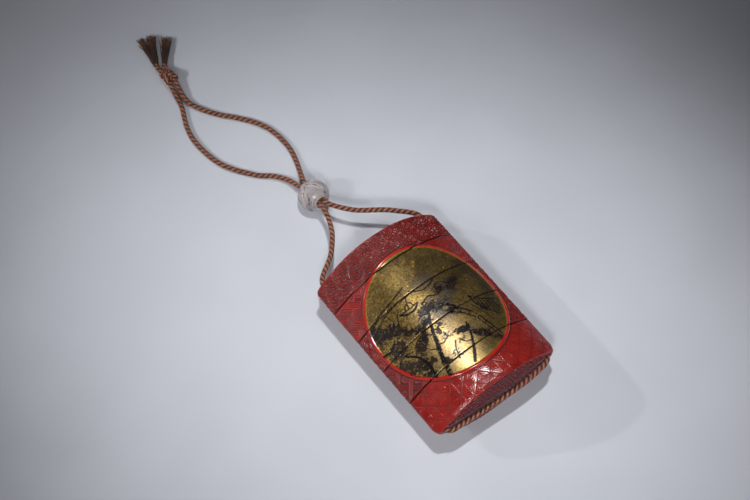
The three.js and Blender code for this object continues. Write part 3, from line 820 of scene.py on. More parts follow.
def end_rows(loops, end):
    """Rows over an end, between its side and its middle line. The side's ground runs up the lip to
    a plain crest, and small scales cover the face."""
    rows = []
    tier = 0 if end > 0 else 4
    lip = LID_LIP_RADIUS if end > 0 else LIP_RADIUS
    for turn in LIP_TURNS:
        crest = smooth(0.5, 0.75, turn) * (1 - smooth(0.95, 1.15, turn))
        finish = side_finish(COLUMNS_S, lip_line(end) + end * lip * turn, tier, -FAR, FAR)[1]
        place = lip_row(COLUMNS_S, end, turn, 0)
        scales = scale_ground(place[:, 0], place[:, 2] - MID)
        turned = smooth(0.8, 1.0, turn)
        carved = np.maximum((1 - turned) * finish["carved"] + turned * scales, crest)
        depth = (GROUNDS[tier][1] * (1 - turned) + SCALE_DEPTH * turned) * (1 - carved)
        drawn_in = BASE_DRAWN_IN * (1 - turn / (math.pi / 2)) if end < 0 else 0
        row = lip_row(COLUMNS_S, end, turn, drawn_in + depth)
        # end marks the end's face, which the material paints in shade.
        rows.append((row, {"carved": carved, "end": turned}))
    for share in np.linspace(1, 0, int(FACE_REACH / FACE_STEP) + 1)[1:-1]:
        flat = face_row(COARSE_S, end, share, 0)
        x, z = flat[:, 0], flat[:, 2] - MID
        in_band = 1 - smooth(SCALES_FROM_X, SCALES_TO_X, np.abs(x))
        if end < 0:
            in_band = in_band * smooth(1.3, 1.8, np.abs(z))
        carved = 1 - (1 - scale_ground(x, z)) * in_band
        row = face_row(COARSE_S, end, share, 0)
        if end < 0:
            row[:, 1] = np.maximum(row[:, 1], groove_bottom(x, z))
        row[:, 1] -= end * SCALE_DEPTH * (1 - carved)
        # Painted shade beside the cord: the colour darkens towards the middle line, where the cord
        # lies.
        if end < 0:
            carved = carved * (0.4 + 0.6 * smooth(1.5, 3.2, np.abs(z)))
        rows.append((row, {"carved": carved, "end": 1}))
    for row, finish in rows if end < 0 else rows[::-1]:
        loops.add(row, **finish)


def groove_bottom(x, z):
    """How far the cord's shallow groove, which narrows outwards, reaches into the base."""
    radius = (GROOVE_HALF_WIDTH**2 + GROOVE_DEPTH**2) / (2 * GROOVE_DEPTH)
    narrow = np.sqrt(np.clip(1 - (np.abs(x) / GROOVE_TIP_X) ** 2.2, 0.05, 1))
    inside = radius**2 - (z / narrow) ** 2
    apex = BODY_BOTTOM + BASE_DOME * (np.abs(x) / HALF_WIDTH) ** 2
    bottom = apex + GROOVE_DEPTH - radius + np.sqrt(np.clip(inside, 0, None))
    return np.where((inside > 0) & (np.abs(x) < CHANNEL_X), bottom, -FAR)


def lip_line(end):
    """Length at which each column of the side meets the lip."""
    return lip_row(COLUMNS_S, end, 0, 0)[:, 1]


END_MARGIN = 2.5


def lid_mesh():
    """Rows from the middle of the lid's end over its side into its hollow."""
    loops = Loops()
    low = SEAMS[0] + SEAM_GAP / 2
    end_rows(loops, 1)
    side_rows(loops, 0, low, BODY_TOP - END_MARGIN, high_line=lip_line(1))
    loops.add(hollow_row(WALL, SOCKET_HALF_WIDTH, low), inside=1)
    loops.add(hollow_row(WALL, SOCKET_HALF_WIDTH, BODY_TOP - END_THICKNESS), inside=1)
    return loops.mesh("lid_carved")


def case_mesh(number):
    """Rows from a case's inside over its riser and its side, into its socket or over its base."""
    loops = Loops()
    is_base = number == 4
    high = SEAMS[number - 1] - SEAM_GAP / 2
    low = BODY_BOTTOM if is_base else SEAMS[number] + SEAM_GAP / 2
    riser_top = high + SEAM_GAP + RISER_HEIGHT
    socket_top = low + RISER_HEIGHT + CLEARANCE
    floor_top = BODY_BOTTOM + END_THICKNESS if is_base else socket_top + FLOOR
    inner = WALL + CLEARANCE + RISER_WALL
    loops.add(hollow_row(inner, HOLLOW_HALF_WIDTH, floor_top), inside=1)
    loops.add(hollow_row(inner, HOLLOW_HALF_WIDTH, riser_top), inside=1)
    loops.add(hollow_row(WALL + CLEARANCE, SOCKET_HALF_WIDTH - CLEARANCE, riser_top), inside=1)
    loops.add(hollow_row(WALL + CLEARANCE, SOCKET_HALF_WIDTH - CLEARANCE, high), inside=1)
    if is_base:
        side_rows(loops, number, BODY_BOTTOM + END_MARGIN, high, low_line=lip_line(-1))
        end_rows(loops, -1)
    else:
        side_rows(loops, number, low, high)
        loops.add(hollow_row(WALL, SOCKET_HALF_WIDTH, low), inside=1)
        loops.add(hollow_row(WALL, SOCKET_HALF_WIDTH, socket_top), inside=1)
    return loops.mesh(f"case_{number}_carved")


def face_outwards(mesh):
    """Turns every face round if the closed mesh is inside out."""
    co = np.empty(len(mesh.vertices) * 3)
    mesh.vertices.foreach_get("co", co)
    co = co.reshape(-1, 3)
    mesh.calc_loop_triangles()
    tri = np.empty(len(mesh.loop_triangles) * 3, np.int32)
    mesh.loop_triangles.foreach_get("vertices", tri)
    a, b, c = co[tri.reshape(-1, 3).T]
    if (a * np.cross(b, c)).sum() < 0:
        mesh.flip_normals()


def bore_tool(x):
    """The cord channel on one side, through the whole length of the case."""
    low, high = BODY_BOTTOM - BORE_PAST_END, BODY_TOP + BORE_PAST_END
    bpy.ops.mesh.primitive_cylinder_add(
        vertices=48,
        radius=CHANNEL_RADIUS * MM,
        depth=(high - low) * MM,
        location=(x * MM, (low + high) / 2 * MM, MID * MM),
        rotation=(math.pi / 2, 0, 0),
    )
    return bpy.context.object


def cut_with(piece, tool):
    """Takes the tool's shape out of a piece, and deletes the tool."""
    modifier = piece.modifiers.new("cut", "BOOLEAN")
    modifier.operation = "DIFFERENCE"
    modifier.solver = "MANIFOLD"
    modifier.object = tool
    select_only(piece)
    bpy.ops.object.modifier_apply(modifier=modifier.name)
    bpy.data.objects.remove(tool)


def mouth_tool(x, end):
    """The flare of the channel where it opens on an end, half of it inside the end."""
    radius = MOUTH_RADIUS * 2 - CHANNEL_RADIUS
    face = end_face(np.array([x]), end)[0]
    bpy.ops.mesh.primitive_cone_add(
        vertices=48,
        radius1=(radius if end < 0 else CHANNEL_RADIUS) * MM,
        radius2=(CHANNEL_RADIUS if end < 0 else radius) * MM,
        depth=MOUTH_LENGTH * MM,
        location=(x * MM, float(face[0]) * MM, MID * MM),
        rotation=(-math.pi / 2, 0, 0),
    )
    return bpy.context.object


def make_tier(name, mesh, material_list, mouths=0):
    """A tier of the case; mouths is the end on which its channels open, or 0."""
    piece = new_object(f"{name}_carved", mesh)
    face_outwards(mesh)
    for x in (-CHANNEL_X, CHANNEL_X):
        cut_with(piece, bore_tool(x))
        if mouths:
            cut_with(piece, mouth_tool(x, mouths))
    for material in material_list:
        piece.data.materials.append(material)
    piece.data.shade_smooth()
    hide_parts(name)
    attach(piece, "root")
    return piece


def srgb(r, g, b):
    """A colour from its values as a screen shows them, 0 to 255."""

    def linear(v):
        v /= 255
        return v / 12.92 if v <= 0.04045 else ((v + 0.055) / 1.055) ** 2.4

    return (linear(r), linear(g), linear(b), 1.0)


class Nodes:
    """A material's node tree, with short calls for what the finishes need."""

    def __init__(self, name):
        self.material = bpy.data.materials.new(name)
        self.material.use_nodes = True
        self.tree = self.material.node_tree
        self.tree.nodes.clear()
        self.shader = self.tree.nodes.new("ShaderNodeBsdfPrincipled")
        out = self.tree.nodes.new("ShaderNodeOutputMaterial")
        self.tree.links.new(self.shader.outputs["BSDF"], out.inputs["Surface"])
        self.place = self.tree.nodes.new("ShaderNodeTexCoord").outputs["Object"]

    def link(self, source, target):
        self.tree.links.new(source, target)

    def set(self, **values):
        for name, value in values.items():
            self.shader.inputs[name.replace("_", " ")].default_value = value

    def attribute(self, name):
        node = self.tree.nodes.new("ShaderNodeAttribute")
        node.attribute_name = name
        return node.outputs["Fac"]

    def noise(self, scale, detail=3.0, roughness=0.55, stretch=None):
        node = self.tree.nodes.new("ShaderNodeTexNoise")
        node.inputs["Scale"].default_value = scale
        node.inputs["Detail"].default_value = detail
        node.inputs["Roughness"].default_value = roughness
        source = self.place
        if stretch:
            mapping = self.tree.nodes.new("ShaderNodeMapping")
            mapping.inputs["Scale"].default_value = stretch
            self.link(source, mapping.inputs["Vector"])
            source = mapping.outputs["Vector"]
        self.link(source, node.inputs["Vector"])
        return node.outputs["Fac"]

    def ranged(self, value, low, high, to_low=0.0, to_high=1.0):
        node = self.tree.nodes.new("ShaderNodeMapRange")
        node.interpolation_type = "SMOOTHSTEP"
        self.link(value, node.inputs["Value"])
        ends = {"From Min": low, "From Max": high, "To Min": to_low, "To Max": to_high}
        for key, number in ends.items():
            node.inputs[key].default_value = number
        return node.outputs["Result"]

    def math(self, operation, a, b):
        node = self.tree.nodes.new("ShaderNodeMath")
        node.operation = operation
        for k, value in enumerate((a, b)):
            if isinstance(value, (int, float)):
                node.inputs[k].default_value = value
            else:
                self.link(value, node.inputs[k])
        return node.outputs["Value"]

    def mix(self, share, a, b):
        node = self.tree.nodes.new("ShaderNodeMix")
        node.data_type = "RGBA"
        for key, kind, value in (("Factor", "VALUE", share), ("A", "RGBA", a), ("B", "RGBA", b)):
            socket = next(i for i in node.inputs if i.name == key and i.type == kind)
            if isinstance(value, (int, float, tuple)):
                socket.default_value = value
            else:
                self.link(value, socket)
        return next(o for o in node.outputs if o.type == "RGBA")

    def bump(self, height, strength, distance):
        node = self.tree.nodes.new("ShaderNodeBump")
        node.inputs["Strength"].default_value = strength
        node.inputs["Distance"].default_value = distance
        self.link(height, node.inputs["Height"])
        self.link(node.outputs["Normal"], self.shader.inputs["Normal"])


def lacquer_material():
    m = Nodes("carved red and gold lacquer")
    patches = m.noise(130, 3)
    grain = m.noise(1500, 2)
    carved, gold_share = m.attribute("carved"), m.attribute("gold")
    red = m.mix(m.ranged(patches, 0.35, 0.7), srgb(138, 23, 17), srgb(154, 34, 27))
    # The ground's darker red is painted shade in the carved hollows.
    ground = m.mix(m.ranged(patches, 0.3, 0.7), srgb(58, 13, 10), srgb(78, 19, 14))
    lacquer = m.mix(m.ranged(carved, 0.1, 0.9), ground, red)
    lacquer = m.mix(m.attribute("ring"), lacquer, srgb(170, 27, 19))
    # The ends take a purple-red, painted shade, as they face away from the lamp.
    shaded_end_red = m.mix(carved, srgb(48, 12, 14), srgb(150, 44, 46))
    lacquer = m.mix(m.attribute("end"), lacquer, shaded_end_red)
    # The ink attribute also carries painted shade along the seams, on the red as on the gold.
    lacquer = m.mix(m.attribute("ink"), lacquer, srgb(34, 11, 9))
    gold = m.mix(m.ranged(m.noise(420, 4, 0.7), 0.35, 0.68), srgb(150, 120, 62), srgb(198, 166, 98))
    gold = m.mix(m.ranged(m.noise(1300, 2), 0.48, 0.64, 0.0, 0.6), gold, srgb(70, 54, 28))
    # The pale patch is a painted sheen, where the lamp's highlight falls on the gold.
    gold = m.mix(m.attribute("pale"), gold, srgb(224, 190, 128))
    gold = m.mix(m.attribute("haze"), gold, srgb(60, 47, 28))
    gold = m.mix(m.attribute("bright"), gold, srgb(196, 152, 48))
    gold = m.mix(m.math("MULTIPLY", m.attribute("wash"), 0.75), gold, srgb(88, 90, 98))
    gold = m.mix(m.attribute("masses"), gold, srgb(42, 30, 22))
    gold = m.mix(m.attribute("ink"), gold, srgb(12, 11, 15))
    m.link(m.mix(gold_share, lacquer, gold), m.shader.inputs["Base Color"])
    dark = m.math("MAXIMUM", m.attribute("ink"), m.attribute("masses"))
    dark = m.math("MAXIMUM", dark, m.math("MULTIPLY", m.attribute("haze"), 0.5))
    bare_gold = m.math("SUBTRACT", gold_share, dark)
    m.link(m.ranged(bare_gold, 0.0, 1.0, 0.0, 0.85), m.shader.inputs["Metallic"])
    polish = m.ranged(grain, 0.3, 0.7, 0.17, 0.26)
    rough = m.math("ADD", polish, m.ranged(carved, 0.0, 0.8, 0.45, 0.0))
    m.link(m.math("ADD", rough, m.math("MULTIPLY", bare_gold, 0.07)), m.shader.inputs["Roughness"])
    m.bump(m.noise(900, 4, 0.6), 0.12, 0.0002)
    m.link(m.ranged(m.attribute("ring"), 0.0, 1.0, 0.25, 1.0), m.shader.inputs["Coat Weight"])
    m.set(Coat_Roughness=0.12, Specular_IOR_Level=0.4)
    return m.material


def inside_material():
    m = Nodes("black lacquer with gold flakes")
    flakes = m.ranged(m.noise(1600, 1), 0.66, 0.72)
    m.link(m.mix(flakes, srgb(28, 20, 18), srgb(150, 112, 50)), m.shader.inputs["Base Color"])
    m.link(m.ranged(m.noise(300, 2), 0.3, 0.7, 0.25, 0.4), m.shader.inputs["Roughness"])
    return m.material


def silk_material():
    m = Nodes("twisted silk")
    tan = m.mix(m.ranged(m.noise(900, 3), 0.3, 0.7), srgb(143, 82, 57), srgb(180, 114, 82))
    dark = m.mix(m.ranged(m.noise(900, 3), 0.3, 0.7), srgb(38, 15, 12), srgb(64, 28, 20))
    colour = m.mix(m.attribute("dark"), tan, dark)
    # Painted shade darkens the sides of the strands, down in the valleys between them.
    colour = m.mix(m.attribute("painted_valley_shade"), colour, srgb(30, 18, 14))
    m.link(colour, m.shader.inputs["Base Color"])
    m.link(m.ranged(m.noise(1500, 2), 0.3, 0.7, 0.45, 0.65), m.shader.inputs["Roughness"])
    m.bump(m.attribute("fibre"), 0.5, 0.00006)
    m.set(Sheen_Weight=0.25, Sheen_Roughness=0.4)
    return m.material


def frayed_material():
    m = Nodes("frayed silk")
    colour = m.mix(m.attribute("tip"), srgb(50, 24, 15), srgb(168, 112, 50))
    colour = m.mix(m.ranged(m.noise(700, 2), 0.35, 0.7), colour, srgb(74, 38, 22))
    m.link(colour, m.shader.inputs["Base Color"])
    m.set(Roughness=0.6, Sheen_Weight=0.2)
    return m.material


def crystal_material():
    m = Nodes("carved crystal")
    cloudy = m.ranged(m.noise(180, 3), 0.4, 0.65)
    clear = m.mix(cloudy, srgb(240, 232, 232), srgb(220, 208, 208))
    m.link(m.mix(m.attribute("grime"), clear, srgb(84, 70, 62)), m.shader.inputs["Base Color"])
    m.link(m.ranged(m.noise(600, 2), 0.3, 0.7, 0.06, 0.16), m.shader.inputs["Roughness"])
    m.bump(m.noise(500, 2), 0.1, 0.0002)
    m.set(Transmission_Weight=0.65, IOR=1.5)
    return m.material


# Cord, in millimetres
CORD_RADIUS = 1.1
CORD_PITCH = 4.9
LEFT_ROUTE = (
    (-26.6, 38.6, 14), (-26.6, 40, 14), (-26.1, 41.6, 14), (-24.8, 43.9, 13.8), (-21.9, 46.4, 13.2),
    (-17.7, 49.2, 12.5), (-14.2, 52.1, 11.8), (-10.7, 55.9, 11.1), (-7.4, 60.3, 10.5),
    (-5, 64.9, 10.2), (-3.5, 69, 10), (-2.7, 72.5, 9.7), (-2.4, 75.5, 9.1), (-2.4, 82.1, 7),
    (-2.4, 88.7, 4.9), (-2.6, 92, 3.6), (-3.7, 97.5, 2.1), (-7.2, 103.4, 1.3), (-12, 107.7, 1.15),
    (-16.2, 112.9, 1.15), (-19.7, 118.1, 1.15), (-22.2, 123.4, 1.15), (-23.6, 129.3, 1.15),
    (-24.3, 135.6, 1.15), (-24.1, 142.2, 1.15), (-22.8, 148.1, 1.15), (-20.7, 153.3, 1.15),
    (-18.8, 157.5, 1.3), (-17.9, 161, 1.7), (-17.3, 164.5, 2.3), (-16.7, 168, 2.9),
    (-16.4, 169.8, 3.2),
)
RIGHT_ROUTE = (
    (26.6, 38.6, 14), (26.6, 40, 14), (26.5, 41.9, 14), (25.8, 44.3, 13.9), (23.6, 47.6, 13.5),
    (20.8, 50.9, 12.9), (18, 54.2, 12.3), (14.6, 57.3, 11.7), (11, 60.3, 11.1), (7.8, 63.2, 10.6),
    (5.2, 66.2, 10.3), (3, 69.3, 10.1), (1.2, 72.4, 9.7), (0.2, 75.5, 9.1), (0.2, 82.1, 7),
    (0.2, 88.7, 4.9), (0.8, 92, 3.6), (2.5, 96.8, 2.1), (4.9, 103, 1.3), (6.6, 109.6, 1.15),
    (6.9, 116.2, 1.15), (6.1, 122.7, 1.15), (4, 128.8, 1.15), (0.7, 134.3, 1.15),
    (-3.1, 139.2, 1.15), (-7.1, 143.9, 1.15), (-10.6, 149, 1.15), (-13.2, 153.8, 1.2),
    (-14.7, 157.6, 1.5), (-15, 161, 1.9), (-14.6, 164.5, 2.5), (-14, 168, 3.1), (-13.7, 169.8, 3.4),
)
# Down the left channel, under the base and up the right channel
BASE_ROUTE = (
    (-26.6, 38.3, 14), (-26.6, 10, 14), (-26.6, -20, 14), (-26.6, -35.6, 14), (-26.6, -39.4, 14),
    (-26.4, -41, 14), (-25.2, -42.3, 13.9), (-22.8, -42.8, 13.8), (-18.2, -42.9, 13.6),
    (-13.3, -43.1, 13.4), (-7.98, -43.3, 13.2), (-2.13, -43.6, 13.1), (3.99, -43.9, 13),
    (9.58, -44, 13), (14.63, -43.9, 13.2), (19.5, -43.5, 13.5), (23.2, -43, 13.8),
    (25.4, -42.1, 13.9), (26.5, -40.7, 14), (26.6, -39, 14), (26.6, -35.6, 14), (26.6, -20, 14),
    (26.6, 10, 14), (26.6, 38.3, 14),
)
KNOT_PLACE = np.array([-14.5, 173.6, 3.6])
BEAD_PLACE = (-1.1, 82.1, 7.0)
BEAD_TILT = math.radians(18)


def centripetal(points, step):
    """A smooth line through points, at an even step."""
    p = np.array(points, float)
    p = np.vstack([2 * p[0] - p[1], p, 2 * p[-1] - p[-2]])
    dense = []
    for k in range(1, len(p) - 2):
        x0, x1, x2, x3 = p[k - 1 : k + 3]
        d0, d1, d2 = (math.sqrt(np.linalg.norm(b - a)) for a, b in ((x0, x1), (x1, x2), (x2, x3)))
        t1 = ((x1 - x0) / d0 - (x2 - x0) / (d0 + d1) + (x2 - x1) / d1) * d1
        t2 = ((x2 - x1) / d1 - (x3 - x1) / (d1 + d2) + (x3 - x2) / d2) * d1
        for t in np.linspace(0, 1, 24, endpoint=False):
            dense.append(
                (2 * t**3 - 3 * t**2 + 1) * x1
                + (t**3 - 2 * t**2 + t) * t1
                + (-2 * t**3 + 3 * t**2) * x2
                + (t**3 - t**2) * t2
            )
    dense.append(p[-2])
    dense = np.array(dense)
    length = np.r_[0, np.cumsum(np.linalg.norm(np.diff(dense, axis=0), axis=1))]
    count = max(2, int(round(length[-1] / step)) + 1)
    at = np.linspace(0, length[-1], count)
    return np.stack([np.interp(at, length, dense[:, k]) for k in range(3)], 1), at


def carried_frames(line):
    """Directions across the line that don't twist along it."""
    tangents = np.gradient(line, axis=0)
    tangents /= np.linalg.norm(tangents, axis=1)[:, None]
    start = np.cross(tangents[0], (0.0, 0.0, 1.0))
    if np.linalg.norm(start) < 0.1:
        start = np.cross(tangents[0], (0.0, 1.0, 0.0))
    sides = [start / np.linalg.norm(start)]
    for k in range(1, len(line)):
        side = sides[-1] - tangents[k] * (sides[-1] @ tangents[k])
        sides.append(side / np.linalg.norm(side))
    sides = np.array(sides)
    return sides, np.cross(tangents, sides)


# Angle about the cord, distance from its middle, radius, and 1 for a dark strand
STRANDS = tuple(
    (turn + side * 0.33, 0.66, 0.42, 0.0) for turn in (0.0, math.pi) for side in (-1, 1)
) + tuple((turn, 0.6, 0.46, 1.0) for turn in (0.5 * math.pi, 1.5 * math.pi))
ROPE_REACH = 1.16
ROPE_SIDES = 40
ROPE_STEP = 0.3


def twisted_section(radius):
    """Angle, radius, colour, painted shade of the valleys and place on the strand, round a section
    of pairs of tan strands with single dark ones between them."""
    angle = np.arange(ROPE_SIDES) / ROPE_SIDES * 2 * math.pi
    least = 0.3
    best, which, off = np.full(ROPE_SIDES, least), np.zeros(ROPE_SIDES), np.ones(ROPE_SIDES)
    for turn, centre, size, dark in STRANDS:
        apart = (angle - turn + math.pi) % (2 * math.pi) - math.pi
        inside = size**2 - (centre * np.sin(apart)) ** 2
        reach = centre * np.cos(apart) + np.sqrt(np.clip(inside, 0, None))
        reach = np.where((inside > 0) & (np.cos(apart) > 0), reach, 0)
        closer = reach > best
        best = np.where(closer, reach, best)
        which = np.where(closer, dark, which)
        off = np.where(closer, np.abs(apart), off)
    scale = radius / CORD_RADIUS * ROPE_REACH / (STRANDS[0][1] + STRANDS[0][2])
    # The fourth value is the painted valley shade, growing towards each strand's sides.
    return angle, best * scale, which, smooth(0.3, 0.6, off), off


def rope_parts(points, radius=CORD_RADIUS, pitch=CORD_PITCH, phase=0.0):
    """Places, faces, finishes, line and length of a twisted cord along points, with closed ends."""
    line, at = centripetal(points, ROPE_STEP)
    sides, ups = carried_frames(line)
    angle, reach, which, painted_valley_shade, off = twisted_section(radius)
    turn = phase - at / pitch * 2 * math.pi
    rows = []
    for k in range(len(line)):
        a = angle + turn[k]
        outwards = np.cos(a)[:, None] * sides[k] + np.sin(a)[:, None] * ups[k]
        rows.append(line[k] + reach[:, None] * outwards)
    n, count = ROPE_SIDES, len(line)
    i = np.arange(n)
    j = (i + 1) % n
    faces = []
    for k in range(count - 1):
        faces.extend((np.stack([i, j, n + j, n + i], 1) + k * n).tolist())
    places = np.concatenate(rows + [line[:1], line[-1:]])
    first, last, last_row = count * n, count * n + 1, (count - 1) * n
    faces.extend([[int(b), int(a), first] for a, b in zip(i, j)])
    faces.extend([[int(last_row + a), int(last_row + b), last] for a, b in zip(i, j)])
    fibre = 0.5 + 0.5 * np.cos(off[None, :] * 40 + at[:, None] * 9)
    finish = {
        "dark": np.r_[np.tile(which, count), 0, 0],
        "painted_valley_shade": np.r_[np.tile(painted_valley_shade, count) * 0.75, 0, 0],
        "fibre": np.r_[fibre.ravel(), 0, 0],
    }
    return places, faces, finish, line, float(at[-1])


def rope_object(name, parts, material):
    """One mesh from the parts of one or more stretches of cord."""
    places, faces, start = [], [], 0
    finish = {key: [] for key in ("dark", "painted_valley_shade", "fibre")}
    for part in parts:
        places.append(part[0])
        faces.extend([[v + start for v in face] for face in part[1]])
        start += len(part[0])
        for key in finish:
            finish[key].append(part[2][key])
    mesh = new_mesh(name, np.concatenate(places) * MM, faces)
    for key, values in finish.items():
        add_finish(mesh, key, np.concatenate(values))
    mesh.materials.append(material)
    mesh.shade_smooth()
    return new_object(name, mesh)


silk = silk_material()
frayed = frayed_material()

left_parts = rope_parts(LEFT_ROUTE)
right_parts = rope_parts(RIGHT_ROUTE, phase=1.0)
base_parts = rope_parts(BASE_ROUTE, phase=0.5)
left_cord = rope_object("silk_cord_left", [left_parts], silk)
right_cord = rope_object("silk_cord_right", [right_parts], silk)
held_cord = rope_object("silk_cord_through_case", [base_parts], silk)
for cord, nodes in (
    (left_cord, ["cord_left"]),
    (right_cord, ["cord_right"]),
    (held_cord, ["cord_under_base", "cord_in_left_channel", "cord_in_right_channel"]),
):
    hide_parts(*nodes)
    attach(cord, "root")


def knot_wrap(turns, start, along, reach, lean, flat):
    """Points of a strand that winds round the knot's middle line."""
    points = []
    for share in np.linspace(0, 1, int(turns * 10) + 2):
        angle = (start + turns * share) * 2 * math.pi
        inwards = 1 - 0.55 * smooth(0.88, 1.0, share) - 0.55 * (1 - smooth(0.0, 0.12, share))
        x = reach * inwards * math.cos(angle)
        z = reach * inwards * flat * math.sin(angle)
        y = along * (share - 0.5) + lean * math.cos(angle)
        points.append((x, y, z))
    return [tuple(np.array(p) + KNOT_PLACE) for p in points]


def make_knot():
    """Both strands run through the knot, and the drawn-tight wraps go round them."""
    left = ((-16.4, 169.6, 3.2), (-15.9, 172.5, 3.2), (-15.3, 175.5, 3.3), (-15.6, 177.6, 3.1))
    right = ((-13.7, 169.6, 3.4), (-13.9, 172.5, 3.9), (-13.7, 175.5, 3.9), (-13.2, 177.6, 3.4))
    parts = [
        rope_parts(knot_wrap(2.1, 0.1, 3.4, 2.15, 0.9, 0.95), radius=1.0, pitch=4.4),
        rope_parts(knot_wrap(1.15, 0.55, 1.2, 2.35, -2.1, 0.92), radius=1.0, pitch=4.4),
        rope_parts(left),
        rope_parts(right),
    ]
    return rope_object("silk_knot", parts, silk)


knot = make_knot()
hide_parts("knot")
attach(knot, "root")


def frayed_end(name, node, route, tips, seed):
    """A short stretch of cord whose strands open into tufts of loose fibres, each tuft given by its
    tip, spread and count."""
    rng = np.random.RandomState(seed)
    start = np.array(route[-1], float)
    heading = start - np.array(route[-2], float)
    heading /= np.linalg.norm(heading)
    upwards = np.array([0, 0, 1.0])
    places, faces, tip_share = [], [], []
    sides, rings, least_height = 5, 12, 0.26
    for tip, spread_by, count in tips:
        tip = np.array(tip, float)
        aim = tip - start
        across = np.cross(aim / np.linalg.norm(aim), upwards)
        across /= np.linalg.norm(across)
        for _ in range(count):
            spread = float(np.clip(rng.normal(0, spread_by), -2 * spread_by, 2 * spread_by))
            length = rng.uniform(0.78, 1.03)
            root = start - heading * 1.8 + across * rng.uniform(-0.95, 0.95)
            root = root + upwards * rng.uniform(-0.8, 0.8)
            end = start + aim * length + across * spread + upwards * abs(rng.normal(0, 0.8))
            middle = (root + end) / 2 + across * spread * 0.15 + upwards * rng.uniform(0.2, 0.9)
            hook = across * rng.normal(0, 0.35)
            thickness = rng.uniform(0.17, 0.28)
            wave, phase = rng.uniform(0.03, 0.12), rng.uniform(0, 6.28)
            gold_tip = rng.uniform(0.3, 1.0)
            base = len(places)
            for r in range(rings):
                t = r / (rings - 1)
                centre = (1 - t) ** 2 * root + 2 * t * (1 - t) * middle + t**2 * end
                centre = centre + hook * smooth(0.7, 1, t)
                centre = centre + across * wave * math.sin(phase + 16 * t)
                centre[2] = max(centre[2], least_height)
                size = thickness * (1 - 0.5 * t)
                for c in range(sides):
                    turn = c / sides * 2 * math.pi
                    outwards = math.cos(turn) * across + math.sin(turn) * upwards
                    places.append(centre + size * outwards)
                    tip_share.append(smooth(0.6, 1.0, t) * gold_tip)
            for r in range(rings - 1):
                for c in range(sides):
                    a, b = base + r * sides + c, base + r * sides + (c + 1) % sides
                    faces.append([a, b, b + sides, a + sides])
            faces.append([base + c for c in reversed(range(sides))])
            faces.append([base + (rings - 1) * sides + c for c in range(sides)])
    mesh = new_mesh(f"{name}_fibres", np.array(places) * MM, faces)
    add_finish(mesh, "tip", tip_share)
    mesh.materials.append(frayed)
    mesh.shade_smooth()
    fibres = new_object(f"{name}_fibres", mesh)
    stub = rope_object(name, [rope_parts(route)], silk)
    for piece in (fibres, stub):
        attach(piece, "root")
    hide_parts(node)
    return [stub, fibres]


left_end = frayed_end(
    "silk_end_left",
    "cord_end_left",
    ((-15.6, 177.4, 3.1), (-15.5, 181, 2.4), (-14.8, 184.7, 1.6)),
    (((-12.9, 200.2, 1.2), 0.85, 80), ((-8.0, 199.0, 1.2), 0.95, 85)),
    21,
)
right_end = frayed_end(
    "silk_end_right",
    "cord_end_right",
    ((-13.2, 177.4, 3.4), (-12.7, 180, 2.6), (-11.6, 182.6, 1.9)),
    (((-2.9, 193.6, 1.2), 1.3, 140),),
    22,
)


# Lines carved in the bead: width, depth and the directions from its middle that they run through
BEAD_LINES = (
    (0.5, 0.4, (-0.75, -0.13, 0.65), (-0.61, -0.13, 0.79), (-0.25, -0.13, 0.96),
     (0.15, -0.1, 0.98)),
    (0.5, 0.45, (-0.66, -0.29, 0.7), (-0.57, -0.29, 0.76), (-0.22, -0.29, 0.93),
     (0.18, -0.26, 0.95)),
    (0.8, 0.55, (-0.2, 0.62, 0.75), (0.09, 0.33, 0.94), (0.31, 0.02, 0.95), (0.47, -0.29, 0.84),
     (0.53, -0.6, 0.6)),
    (0.55, 0.4, (-0.3, 0.3, 0.9), (0.05, 0.02, 1.0), (0.25, -0.28, 0.93), (0.35, -0.54, 0.77)),
    (0.85, 0.85, (-0.5, -0.2, 0.84), (-0.55, -0.27, 0.79), (-0.7, -0.46, 0.54), (-0.79, -0.61, 0.1),
     (-0.6, -0.7, -0.4)),
    (0.6, 0.45, (-0.45, -0.4, 0.8), (-0.49, -0.46, 0.74), (-0.62, -0.64, 0.46),
     (-0.65, -0.76, -0.02)),
    (0.8, 0.5, (-0.3, 0.6, 0.74), (-0.52, 0.29, 0.8), (-0.77, 0.07, 0.63), (-0.89, -0.28, 0.37),
     (-0.85, -0.5, -0.1)),
    (0.6, 0.5, (-0.35, -0.66, 0.66), (-0.45, -0.73, 0.52), (-0.49, -0.86, 0.13)),
    (0.9, 0.6, (0.75, -0.6, 0.3), (0.8, -0.1, 0.59), (0.7, 0.4, 0.6), (0.3, 0.75, 0.6)),
    (0.9, 0.6, (0.6, 0.6, -0.5), (0.9, 0.1, -0.4), (0.8, -0.5, -0.3), (0.4, -0.6, -0.7)),
    (0.9, 0.6, (-0.9, 0.4, 0.1), (-0.95, 0.0, -0.3), (-0.7, -0.3, -0.65), (-0.2, -0.4, -0.9)),
    (0.8, 0.55, (-0.7, 0.6, -0.4), (-0.4, 0.4, -0.8), (0.1, 0.2, -0.97), (0.5, -0.1, -0.86)),
)
BEAD_RADIUS = 7
HOLE_RADIUS = 2.8
HOLE_RIM = 0.25


